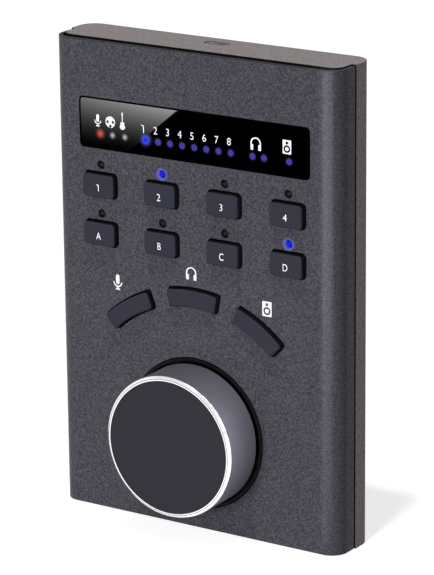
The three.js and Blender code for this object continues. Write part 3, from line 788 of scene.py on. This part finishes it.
# Keys
def key_solid(name, cap, flange, x, z):
    stem = rod("stem", STEM_RADIUS, FLANGE_REAR - GAP, PLUNGER_FRONT, x, z)
    plunger = rod("plunger", PLUNGER_RADIUS, PLUNGER_FRONT - GAP, KEY_HIGH.y, x, z)
    key = fuse([cap, flange, stem, plunger], name)
    smooth(key)
    # Painted shade: all of the key except its face gets the near black side colour.
    coat(key, KEY_SIDE_SHADE)
    coat_where(key, KEY_FACE, lambda face: face.normal.y < -LEANING
               and face.center.y < KEY_FRONT + KEY_SOFTNESS)
    return key


def soften_cap(cap):
    with editing(cap):
        round_edges(cap, lambda edge: is_rim(edge, KEY_FRONT), KEY_SOFTNESS, RIM_STEPS)


def place_key(key, mark):
    place(key, f"key_{mark}_body", "key_rubber", f"key_{mark}")


def make_square_keys():
    cap = rounded_block("cap", *key_corners(KEY_FRONT, FLANGE_REAR - GAP), KEY_CORNER, Y)
    soften_cap(cap)
    flange = block("flange", *key_corners(FLANGE_FRONT, FLANGE_REAR, KEY_FLANGE))
    x, z = key_place("1")
    key = key_solid("keycap_1", cap, flange, x, z)
    for mark in SQUARE_MARKS[1:]:
        other_x, other_z = key_place(mark)
        place_key(copied(key, f"keycap_{mark}", (other_x - x, 0, other_z - z)), mark)
    place_key(key, "1")


def make_curved_keys():
    cap = curved_solid("cap", KEY_FRONT, FLANGE_REAR - GAP)
    soften_cap(cap)
    flange = curved_solid("flange", FLANGE_FRONT, FLANGE_REAR, KEY_FLANGE)
    key = key_solid("curved_keycap_headphone", cap, flange, *key_place("headphone"))
    for mark, turn in (("microphone", -CURVED_PITCH), ("speaker", CURVED_PITCH)):
        name = f"curved_keycap_{mark}"
        place_key(copied(key, name, turn=turn, centre=(0, 0, KNOB_AXIS)), mark)
    place_key(key, "headphone")


# Knob and its well
def make_knob():
    front = KNOB_LOW.y
    knob = spun("knob", KNOB_RADIUS, front, KNOB_REAR)
    with editing(knob):
        round_edges(knob, lambda edge: lies_at(edge, Y, front), RIM_CUT, 1)
        choose(knob, "FACE", lambda face: lies_at(face, Y, front))
        for width, depth in ((RIM_LINE, 0), (RIM_LAND, 0), (FACE_SLOPE, -FACE_DROP)):
            bpy.ops.mesh.inset(thickness=width, depth=depth)
        hollow(knob, KNOB_REAR, KNOB_WALL, front + KNOB_FACE)
    face_outwards(knob)
    soften(knob, KNOB_SOFTNESS, KNOB_SOFTEN_ANGLE)
    coat(knob, KNOB_SIDE)
    line = KNOB_RADIUS - RIM_CUT
    face_edge = line - RIM_LINE - RIM_LAND - HAIR

    def from_axis(face):
        return math.hypot(face.center.x, face.center.z - KNOB_AXIS)

    coat_where(knob, KNOB_CUT, lambda face: face.center.y < front + RIM_CUT
               and from_axis(face) > face_edge)
    coat_where(knob, KNOB_SIDE, lambda face: face.center.y < front + HAIR
               and line - RIM_LINE < from_axis(face) < line)
    coat_where(knob, KNOB_TOP, lambda face: face.center.y < front + RIM_CUT
               and from_axis(face) <= face_edge)
    place(knob, "knob_body", "knob", "knob_shell")


def make_well():
    front, rear = WELL_LOW.y, WELL_HIGH.y
    well = spun("well", WELL_RADIUS, front, rear)
    with editing(well):
        hollow(well, front, WELL_WALL, rear - WELL_FLOOR)
    carve(well, rod("hole", BUSHING_HOLE, front, rear + OVERRUN, 0, KNOB_AXIS, FINE_SIDES))
    flange_rear = FLANGE_FRONT + WELL_FLANGE_THICKNESS
    flange = spun("flange", WELL_RADIUS + WELL_FLANGE, FLANGE_FRONT, flange_rear)
    carve(flange, spun("hole", WELL_RADIUS - WELL_WALL / 2, FRONT, SEAM))
    well = fuse([well, flange], "well_ring")
    soften(well, WELL_SOFTNESS)
    coat(well, WELL_BLACK)
    place(well, "root", "black_plastic", "knob_well")


# Lights
def make_pipes(row):
    low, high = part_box(f"{row}_light_pipes")
    marks = ROW_MARKS[row]
    x, middle = light_place(marks[0])
    tip = FRONT + PIPE_SINK
    rail_low = (low.x, PIPE_RAIL_FRONT, middle - PIPE_RAIL)
    rail_high = (high.x, PIPE_RAIL_FRONT + PIPE_RAIL, middle + PIPE_RAIL)
    pipe = rod("pipe", PIPE_RADIUS, tip, high.y - PIPE_END, x, middle, PIPE_SIDES)
    with editing(pipe):
        round_edges(pipe, lambda edge: lies_at(edge, Y, tip), PIPE_DOME, RIM_STEPS)
    parts = [block("rail", rail_low, rail_high), pipe]
    for mark in marks[1:]:
        forward = PIPE_SINK if mark in LIT_MARKS else 0
        parts.append(copied(pipe, "pipe", (light_place(mark)[X] - x, -forward, 0)))
    leg_x = light_place(marks[2])[X] - light_place(marks[1])[X]
    leg = rod("leg", PIPE_RADIUS, PIPE_RAIL_FRONT + PIPE_RAIL / 2, high.y, leg_x, middle)
    parts += [leg, copied(leg, "leg", (-2 * leg_x, 0, 0))]
    pipes = fuse(parts, f"{row}_pipes")
    smooth(pipes)
    coat(pipes, PIPE_CLEAR)
    coat_where(pipes, PIPE_LENS, lambda face: face.center.y < FRONT + COVER_WALL)
    lit = [light_place(mark)[X] for mark in marks if mark in LIT_MARKS]
    coat_where(pipes, PIPE_LIT, lambda face: face.center.y < PIPE_RAIL_FRONT
               and any(abs(face.center.x - lamp_x) < PIPE_RADIUS + HAIR for lamp_x in lit))
    place(pipes, "root", "clear_plastic", f"{row}_light_pipes")


def glow_spot(name, x, z, radius, finish):
    """A low lens on the pane, with the glow attribute falling from its middle to its rim."""
    near, far = FRONT - INK / 4 - INK / 2, FRONT - INK / 4 + INK / 2
    spot = rod(name, radius, near, far, x, z, fill="TRIFAN")
    glow = spot.data.attributes.new("glow", "FLOAT", "POINT")
    for index, vertex in enumerate(spot.data.vertices):
        away = math.hypot(vertex.co.x - x, vertex.co.z - z)
        glow.data[index].value = 1 - away / radius
    return coat(spot, finish)


def make_glows():
    red = glowing("glow_red", "dc4c40", "c84438", 0.85)
    grey = glowing("glow_off", "b8b8ba", "a0a0a4", 0.8)
    bright = glowing("glow_bright", "0c20ea", "4c5cff", 1.0)
    dim = glowing("glow_dim", "4036bc", "645cd4", 0.9)
    row = centre_of("meter_lights").z
    first, step = along_window(INPUT_START), INPUT_PITCH * WINDOW_WIDTH
    place(glow_spot("input_glow_1", first, row, RED_RADIUS, red), "root", "red_lamp")
    unlit = glow_spot("input_glow_2", first + step, row, GREY_RADIUS, grey)
    place(copied(unlit, "input_glow_3", (step, 0, 0)), "root", "red_lamp")
    place(unlit, "root", "red_lamp")
    first, step = along_window(METER_START), METER_PITCH * WINDOW_WIDTH
    bright_x, bright_z = first - BRIGHT_SHIFT, row + BRIGHT_SHIFT
    lit = glow_spot("meter_glow_1", bright_x, bright_z, BRIGHT_RADIUS, bright)
    place(lit, "root", "blue_lamp")
    faint = glow_spot("meter_glow_2", first + step, row, DIM_RADIUS, dim)
    for number in range(3, 9):
        shift = (number - 2) * step
        place(copied(faint, f"meter_glow_{number}", (shift, 0, 0)), "root", "blue_lamp")
    for number, share in enumerate(OUTPUT_SHARES, 1):
        shift = along_window(share) - first - step
        place(copied(faint, f"output_glow_{number}", (shift, 0, 0)), "root", "blue_lamp")
    place(faint, "root", "blue_lamp")


# Printed marks
class Pen:
    """Draws a mark about its place, in tenths of its height."""

    def __init__(self, name, x, z, height):
        self.name = name
        self.x, self.z = x, z
        self.tenth = height / 10

    def at(self, x, z):
        return self.x + x * self.tenth, self.z + z * self.tenth

    def block(self, low_x, low_z, high_x, high_z, corner=0.0):
        (low_x, low_z), (high_x, high_z) = self.at(low_x, low_z), self.at(high_x, high_z)
        low, high = (low_x, FRONT - INK, low_z), (high_x, FRONT + INK, high_z)
        if corner:
            return rounded_block("ink", low, high, corner * self.tenth, Y, INK_CORNER_STEPS)
        return block("ink", low, high)

    def disc(self, radius, x, z, sides=40):
        return rod("ink", radius * self.tenth, FRONT - INK, FRONT + INK, *self.at(x, z), sides)

    def half_ring(self, radius, width, start, z):
        return arc_block(
            "ink", radius * self.tenth, width * self.tenth, FRONT - INK, FRONT + INK,
            math.radians(start), math.pi, self.at(0, z))

    def punch(self, piece, radius, x, z):
        near, far = FRONT - OVERRUN, FRONT + OVERRUN
        carve(piece, rod("hole", radius * self.tenth, near, far, *self.at(x, z)))


def microphone_icon(pen):
    capsule = pen.block(-1.35, -1.3, 1.35, 5, 1.3)
    cradle = pen.half_ring(2.9, 0.8, 90, 0.1)
    stem = pen.block(-0.4, -4.6, 0.4, -2.6)
    foot = pen.block(-1.6, -5, 1.6, -4)
    return gather([fuse([cradle, stem, foot], pen.name), capsule], pen.name)


def headphone_icon(pen):
    parts = [pen.half_ring(4.1, 1.05, -90, 0.4)]
    for side in (-1, 1):
        inner, arm, outer = side * 2.2, side * 3.58, side * 4.62
        parts.append(pen.block(min(inner, outer), -5, max(inner, outer), -0.6, 0.5))
        parts.append(pen.block(min(arm, outer), -2, max(arm, outer), 0.6))
    return fuse(parts, pen.name)


def speaker_icon(pen):
    box = pen.block(-3.5, -5, 3.5, 5, 0.5)
    pen.punch(box, 1.1, 0, 2.9)
    pen.punch(box, 2.7, 0, -1.4)
    return gather([box, pen.disc(1.45, 0, -1.4)], pen.name)


def connector_icon(pen):
    face = pen.disc(5, 0, 0, FINE_SIDES)
    for x, z in ((-2.85, 0.1), (2.85, 0.1), (0, -3.6)):
        pen.punch(face, 1.35, x, z)
    return settle(face, pen.name)


def guitar_icon(pen):
    parts = [
        pen.disc(1.7, 0, -3.3),
        pen.disc(1.25, 0, -1.9),
        pen.disc(0.4, -1.05, -1.1, 20),
        pen.disc(0.4, 1.05, -1.1, 20),
        pen.block(-0.3, -1.8, 0.3, 4.2),
        pen.block(-0.48, 3.5, 0.48, 5, 0.2),
    ]
    return fuse(parts, pen.name)


def figure_one(pen):
    stem = pen.block(0, -5, ONE_STROKE, 5)
    flag = pen.block(-ONE_FLAG, 5 - ONE_STROKE, ONE_STROKE, 5)
    x, z = pen.at(ONE_STROKE, 5)
    reshaped(flag, turn=FLAG_TURN, centre=(x, FRONT, z))
    return fuse([stem, flag], pen.name)


def lettering(name, text, height, width, x, z):
    """A letter or figure turned into a thin flat solid on the cover's front, centred on a place."""
    bpy.ops.object.text_add(rotation=TO_FRONT)
    mark = bpy.context.object
    mark.data.body = text
    mark.data.size = height
    mark.data.extrude = INK
    mark.data.offset = -HAIR
    only(mark)
    bpy.ops.object.convert(target="MESH")
    mark = settle(bpy.context.object, name)
    face_outwards(mark)
    low, high = extent(mark)
    tall = height / (high.z - low.z)
    middle = (low + high) / 2
    mark.scale = (tall * width, 1, tall)
    mark.location = (x - middle.x * tall * width, FRONT - middle.y, z - middle.z * tall)
    return coat(settle(mark, name), INK_WHITE)


# The window's pictures: place in shares of its width, height over its middle and size in mm
WINDOW_ICONS = {
    "microphone": (microphone_icon, -0.42, 0.85, 3.7),
    "connector": (connector_icon, -0.3635, 0.85, 3.4),
    "guitar": (guitar_icon, -0.309, 1.65, 5.2),
    "headphone": (headphone_icon, 0.274, 0.75, 3.8),
    "speaker": (speaker_icon, 0.406, 1.15, 4.1),
}

# The pictures over the curved keys: x, z and height in mm
COVER_ICONS = {
    "microphone": (-27.05, 72.6, 4.7),
    "headphone": (-0.95, 79.2, 3.9),
    "speaker": (25.05, 72.5, 4.5),
}


def make_window_marks():
    row = WINDOW_CENTRE.z
    last = along_window(LAST_DIGIT) - LAST_DIGIT_SHIFT
    one = Pen("digit_1", last - 7 * DIGIT_PITCH - ONE_SHIFT, row + ONE_LIFT, ONE_HEIGHT)
    digits = [coat(figure_one(one), INK_WHITE)]
    for number in range(2, 9):
        name, x = f"digit_{number}", last - (8 - number) * DIGIT_PITCH
        z = row + DIGIT_LIFT
        digits.append(lettering(name, str(number), DIGIT_HEIGHT, DIGIT_WIDTH, x, z))
    icons = {}
    for mark, (draw, share, lift, height) in WINDOW_ICONS.items():
        pen = Pen(f"window_{mark}", along_window(share), row + lift * MM, height * MM)
        icons[mark] = coat(draw(pen), INK_WHITE)
    return digits, icons


def moved_mark(mark, name, x, z, height):
    """A copy of a mark at another place and of another height."""
    low, high = extent(mark)
    middle = (low + high) / 2
    shift = (x - middle.x, 0, z - middle.z)
    return copied(mark, name, shift, size=height / (high.z - low.z), centre=middle)


def make_marks():
    digits, icons = make_window_marks()
    for mark in SQUARE_MARKS:
        label, (x, z) = f"mark_{mark}", key_place(mark)
        z -= KEY_MARK_DROP
        if mark.isdigit():
            printed = moved_mark(digits[int(mark) - 1], label, x, z, KEY_MARK_HEIGHT)
        else:
            printed = lettering(label, mark.upper(), KEY_MARK_HEIGHT, LETTER_WIDTH, x, z)
        place(moved(printed, (0, -KEY_PROTRUSION, 0)), f"key_{mark}_body", None)
    for name, (x, z, height) in COVER_ICONS.items():
        printed = moved_mark(icons[name], f"cover_{name}", x * MM, z * MM, height * MM)
        place(printed, "root", None)
    for mark in [*digits, *icons.values()]:
        place(mark, "root", None)


# Inlet, screws and feet
def make_inlet():
    shell = rounded_block("inlet_shell", USB_LOW, USB_HIGH, USB_CORNER, Z)
    low = (USB_LOW.x + USB_WALL, USB_LOW.y + USB_WALL, USB_LOW.z - OVERRUN)
    high = (USB_HIGH.x - USB_WALL, USB_HIGH.y - USB_WALL, USB_HIGH.z + OVERRUN)
    carve(shell, rounded_block("bore", low, high, USB_CORNER - USB_WALL, Z))
    soften(shell, USB_SOFTNESS)
    coat(shell, STEEL)
    place(shell, "root", "steel", "usb_shell")


def make_screws():
    radius, x, z = round_place("case_screw_1")
    head = rod("head", radius, REAR - HEAD_THICKNESS, REAR, x, z, FINE_SIDES)
    with editing(head):
        round_edges(
            head, lambda edge: lies_at(edge, Y, REAR), SCREW_SOFTNESS, SCREW_RIM_STEPS)
    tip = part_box("case_screw_1")[0].y
    shank = rod("shank", SHANK_RADIUS, tip, REAR - GAP, x, z, COARSE_SIDES)
    screw = fuse([head, shank], "screw_1")
    arm, slot = radius * SCREW_ARM, SCREW_SLOT / 2
    near, far = REAR - SCREW_RECESS, REAR + OVERRUN
    across = block("cross", (x - arm, near, z - slot), (x + arm, far, z + slot))
    upright = block("cross", (x - slot, near, z - arm), (x + slot, far, z + arm))
    carve(screw, fuse([across, upright], "cross"))
    smooth(screw)
    coat(screw, STEEL)
    place_four(screw, "screw", "case_screw", "steel")


def make_feet():
    radius, x, z = round_place("rubber_foot_1")
    near, far = [corner.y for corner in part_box("rubber_foot_1")]
    foot = rod("foot", radius, near, far, x, z, FOOT_SIDES)
    with editing(foot):
        round_edges(foot, lambda edge: lies_at(edge, Y, far), FOOT_SOFTNESS, RIM_STEPS)
        choose(foot, "FACE", lambda face: lies_at(face, Y, far))
        bpy.ops.mesh.inset(thickness=radius * FOOT_RIM, depth=0)
        bpy.ops.mesh.inset(thickness=FOOT_SLOPE, depth=-FOOT_DISH)
    foot = settle(foot, "foot_1")
    smooth(foot)
    coat(foot, RUBBER)
    place_four(foot, "foot", "rubber_foot", "rubber")


def place_four(first, name, node, slot):
    """The first piece where it is, and copies of it at the other three places."""
    start = centre_of(f"{node}_1")
    for number in (2, 3, 4):
        twin = copied(first, f"{name}_{number}", centre_of(f"{node}_{number}") - start)
        place(twin, "root", slot, f"{node}_{number}")
    place(first, "root", slot, f"{node}_1")


# Pieces that stay as the frame has them, by finish
DRESSED = (
    (INNER_BLACK, (
        "display_light_block", "controller_chip", "light_driver_chip", "usb_tongue",
        "knob_insert", "encoder_push_plate", "encoder_housing")),
    (PIPE_CLEAR, (
        "input_lights", "meter_lights", "output_lights", "upper_key_lights",
        "lower_key_lights")),
    (BOARD_GREEN, ("main_board",)),
    (BRASS, ("encoder_nut", "encoder_bushing")),
    (STEEL, (
        "encoder_shaft", *(f"switch_{mark}" for mark in [*SQUARE_MARKS, *CURVED_MARKS]),
        *(f"board_screw_{number}" for number in range(1, 5)))),
)


def dress_nodes():
    for finish, names in DRESSED:
        for name in names:
            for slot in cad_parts[name].material_slots:
                slot.material = finish


make_cover()
make_chassis()
make_pane()
make_square_keys()
make_curved_keys()
make_knob()
make_well()
for light_row in ("upper", "lower"):
    make_pipes(light_row)
make_glows()
make_marks()
make_inlet()
make_screws()
make_feet()
dress_nodes()


# Stage
FILL = 0.3
FLOOR_SIZE = 12
FLOOR_TONE = 0.35
# Painted light: the floor's white is lifted further towards the front, to wash out the knob's
# shadow on the floor there.
FLOOR_PAINTED_LIGHT_FRONT = 0.86
FLOOR_LIFT = 0.7
SUN_POWER = 0.6 * math.pi
SUN_SPREAD = 3
SUN_AZIMUTH, SUN_ELEVATION, SUN_DISTANCE = 6, 75, 2
LAMP_POWER = 0.97
LAMP_COLOUR = (0.97, 0.96, 1.0)
LAMP_WIDTH, LAMP_HEIGHT = 110 * MM, 70 * MM
LAMP_AZIMUTH, LAMP_DISTANCE = -4, 360 * MM
LAMP_TARGET = (0, FRONT, 60 * MM)

# The camera, fitted to the photo: degrees, metres and pixels
CAMERA_AZIMUTH = 32.939
CAMERA_ELEVATION = 16.761
CAMERA_ROLL = -0.580
CAMERA_DISTANCE = 923.645 * MM
CAMERA_TARGET = Vector((7.974 * MM, FRONT, 76.341 * MM))
CAMERA_NEAR = 10 * MM
FOCAL_PIXELS = 3178.5
FRAME_LONG_SIDE = 575
SENSOR = 36.0

# Cards that the camera sees mirrored in the window: the corners, x and z, of what each fills of
# it, and the card's distance from it. The bright one is cut to a wedge.
BLACK_CARD = ((-0.052, 0.098), (0.052, 0.142), 0.26)
BRIGHT_CARD = ((-0.052, 0.1125), (0.0, 0.1285), 0.25)
WEDGE_TOP = Vector((-5.0 * MM, FRONT, 127.8 * MM))
WEDGE_FOOT = Vector((-22.6 * MM, FRONT, 112.9 * MM))
WEDGE_POWER = (6.3, 20.5)
WEDGE_FALL = 2.6

# Upright cards that the cover's right edge and the knob's side mirror: width, height, place,
# azimuth and strength. The shade keeps the knob's card off the cover.
BAND_POWER = 12.5
BAND_CARD = (0.068, 0.17, (0.0652, -0.0313, 0.086), -43.3, BAND_POWER)
BAND_FADE = (0.0438, 0.09)
BAND_HEIGHTS = (0.01, 0.11)
BAND_RISE = (0.65, 1.55)
KNOB_CARD = (0.016, 0.034, (0.036, -0.017, KNOB_AXIS + 0.03), -90, 14)
KNOB_SHADE = (0.02, 0.038, (0.0365, -0.0165, KNOB_AXIS + 0.03), -90, 0)
CARD_LIGHT = (0.95, 0.94, 1, 1)

# A level card overhead, which the tops of pieces and the knob's cut edge mirror
SKY_PLACE = (0.05, -0.44, 0.5)
SKY_WIDTH, SKY_DEPTH = 1.1, 0.72
SKY_LIGHT = (0.98, 0.98, 1, 1)
SKY_POWER = 0.8


def seen_directly(tree):
    """One for a camera, glossy or transmission ray, and nothing for the light on the object."""
    path = tree.nodes.new("ShaderNodeLightPath")
    shown = path.outputs["Is Camera Ray"]
    for ray in ("Is Glossy Ray", "Is Transmission Ray"):
        shown = combined(tree, "MAXIMUM", shown, path.outputs[ray])
    return shown


def make_floor():
    floor = plane("floor", (0, 0, 0), (0, 0, 0), FLOOR_SIZE, FLOOR_SIZE)
    finish, tree, shader = new_finish("floor_white")
    tone = (FLOOR_TONE, FLOOR_TONE, FLOOR_TONE, 1)
    give(shader, {"Base Color": tone, "Roughness": 0.9, "Emission Color": WHITE})
    # Painted light: the floor is brighter towards the front, which washes out the knob's shadow on
    # the floor in front of the case.
    depth = object_place(tree)["Y"]
    pale = ranged(tree, depth, FLOOR_PAINTED_LIGHT_FRONT, FLOOR_LIFT, 0.0, REAR)
    lift = combined(tree, "MULTIPLY", seen_directly(tree), pale)
    tree.links.new(lift, shader.inputs["Emission Strength"])
    coat(floor, finish)


def make_world():
    world = bpy.data.worlds.new("studio")
    bpy.context.scene.world = world
    world.use_nodes = True
    tree = world.node_tree
    background = tree.nodes["Background"]
    give(background, {"Color": WHITE})
    strength = ranged(tree, seen_directly(tree), FILL, 1.0, 0.0, 1.0)
    tree.links.new(strength, background.inputs["Strength"])


def direction(azimuth, elevation):
    a, e = math.radians(azimuth), math.radians(elevation)
    return Vector((math.sin(a) * math.cos(e), -math.cos(a) * math.cos(e), math.sin(e)))


def aim(lamp, azimuth, elevation, distance, target):
    back = direction(azimuth, elevation)
    lamp.location = Vector(target) + back * distance
    lamp.rotation_euler = (-back).to_track_quat("-Z", "Y").to_euler()


def make_lamps():
    bpy.ops.object.light_add(type="SUN")
    sun = bpy.context.object
    sun.name = "key_light"
    sun.data.energy = SUN_POWER
    sun.data.angle = math.radians(SUN_SPREAD)
    aim(sun, SUN_AZIMUTH, SUN_ELEVATION, SUN_DISTANCE, (0, 0, TOP / 2))
    bpy.ops.object.light_add(type="AREA")
    lamp = bpy.context.object
    lamp.name = "front_light"
    lamp.data.shape = "RECTANGLE"
    lamp.data.size = LAMP_WIDTH
    lamp.data.size_y = LAMP_HEIGHT
    lamp.data.energy = LAMP_POWER
    lamp.data.color = LAMP_COLOUR
    lamp.visible_camera = False
    lamp.visible_glossy = False
    aim(lamp, LAMP_AZIMUTH, 0, LAMP_DISTANCE, LAMP_TARGET)


def camera_place():
    return CAMERA_TARGET + direction(CAMERA_AZIMUTH, CAMERA_ELEVATION) * CAMERA_DISTANCE


def make_camera():
    bpy.ops.object.camera_add()
    camera = bpy.context.object
    camera.name = "camera"
    camera.data.sensor_width = SENSOR
    camera.data.lens = FOCAL_PIXELS * SENSOR / FRAME_LONG_SIDE
    camera.location = camera_place()
    camera.rotation_mode = "QUATERNION"
    upright = (-direction(CAMERA_AZIMUTH, CAMERA_ELEVATION)).to_track_quat("-Z", "Y")
    camera.rotation_quaternion = upright @ Quaternion((0, 0, 1), math.radians(CAMERA_ROLL))
    camera.data.clip_start = CAMERA_NEAR
    bpy.context.scene.camera = camera


def finish_card(piece, finish):
    """A card is part of the stage, and only glossy rays see it."""
    piece.visible_camera = False
    piece.visible_diffuse = False
    piece.visible_transmission = False
    piece.visible_volume_scatter = False
    piece.visible_shadow = False
    coat(piece, finish)


def mirrored_card(name, low, high, distance, cut=None):
    """A card that the camera sees mirrored in the window, between two places on the window."""
    eye = camera_place()
    eye.y = 2 * FRONT - eye.y
    middle = Vector(((low[0] + high[0]) / 2, FRONT, (low[1] + high[1]) / 2))
    reach = 1 + distance / (middle - eye).length
    piece = plane(name, middle, TO_FRONT, high[0] - low[0], high[1] - low[1])
    with editing(piece, everything=True):
        if cut:
            bpy.ops.mesh.bisect(plane_co=cut[0], plane_no=cut[1], clear_outer=True)
            bpy.ops.mesh.select_all(action="SELECT")
        bpy.ops.transform.resize(value=(reach, reach, reach), center_override=eye)
    return piece


def wedge_glow(card, tree):
    """Light that falls off steeply towards the card's foot and to a third towards its left."""
    place_on_card = object_place(tree)
    low, high = extent(card)
    upward = ranged(tree, place_on_card["Z"], 0.0, 1.0, low.z, high.z)
    across = ranged(tree, place_on_card["X"], *WEDGE_POWER, low.x, high.x)
    steep = tree.nodes.new("ShaderNodeMath")
    steep.operation = "POWER"
    steep.inputs[1].default_value = WEDGE_FALL
    tree.links.new(upward, steep.inputs[0])
    return combined(tree, "MULTIPLY", steep.outputs[0], across)


def light_card(name, piece, light, strength):
    """Makes a plane a card that shines with one light all over, and returns its finish."""
    finish, _, shader = new_finish(name)
    give(shader, {"Base Color": BLACK, "Emission Color": light, "Emission Strength": strength})
    finish_card(piece, finish)
    return finish


def stand_card(name, width, height, centre, facing, strength):
    """An upright card at a place, turned towards an azimuth."""
    piece = plane(name, centre, (math.pi / 2, 0, math.radians(facing)), width, height)
    return light_card(name, piece, CARD_LIGHT, strength)


def fade_band(finish):
    """Fades the band's light to nothing across it, and lets it grow with the height."""
    tree = finish.node_tree
    place_on_card = object_place(tree)
    side = ranged(tree, place_on_card["X"], BAND_POWER, 0.0, *BAND_FADE)
    height = ranged(tree, place_on_card["Z"], *BAND_RISE, *BAND_HEIGHTS)
    glow = combined(tree, "MULTIPLY", side, height)
    tree.links.new(glow, tree.nodes["Principled BSDF"].inputs["Emission Strength"])


def make_cards():
    finish, _, shader = new_finish("card_black")
    give(shader, {"Base Color": BLACK, "Specular IOR Level": 0.0})
    finish_card(mirrored_card("black_card", *BLACK_CARD), finish)
    along = WEDGE_FOOT - WEDGE_TOP
    outward = Vector((-along.z, 0, along.x)).normalized()
    bright = mirrored_card("bright_card", *BRIGHT_CARD, (WEDGE_TOP, outward))
    finish, tree, shader = new_finish("card_bright")
    give(shader, {"Base Color": BLACK, "Emission Color": WHITE})
    tree.links.new(wedge_glow(bright, tree), shader.inputs["Emission Strength"])
    finish_card(bright, finish)
    fade_band(stand_card("band_card", *BAND_CARD))
    stand_card("knob_card", *KNOB_CARD)
    stand_card("knob_shade", *KNOB_SHADE)
    sky = plane("sky_card", SKY_PLACE, (0, 0, 0), SKY_WIDTH, SKY_DEPTH)
    light_card("sky_card", sky, SKY_LIGHT, SKY_POWER)


make_floor()
make_cards()
make_world()
make_lamps()
make_camera()
bpy.context.scene.view_settings.view_transform = "Standard"
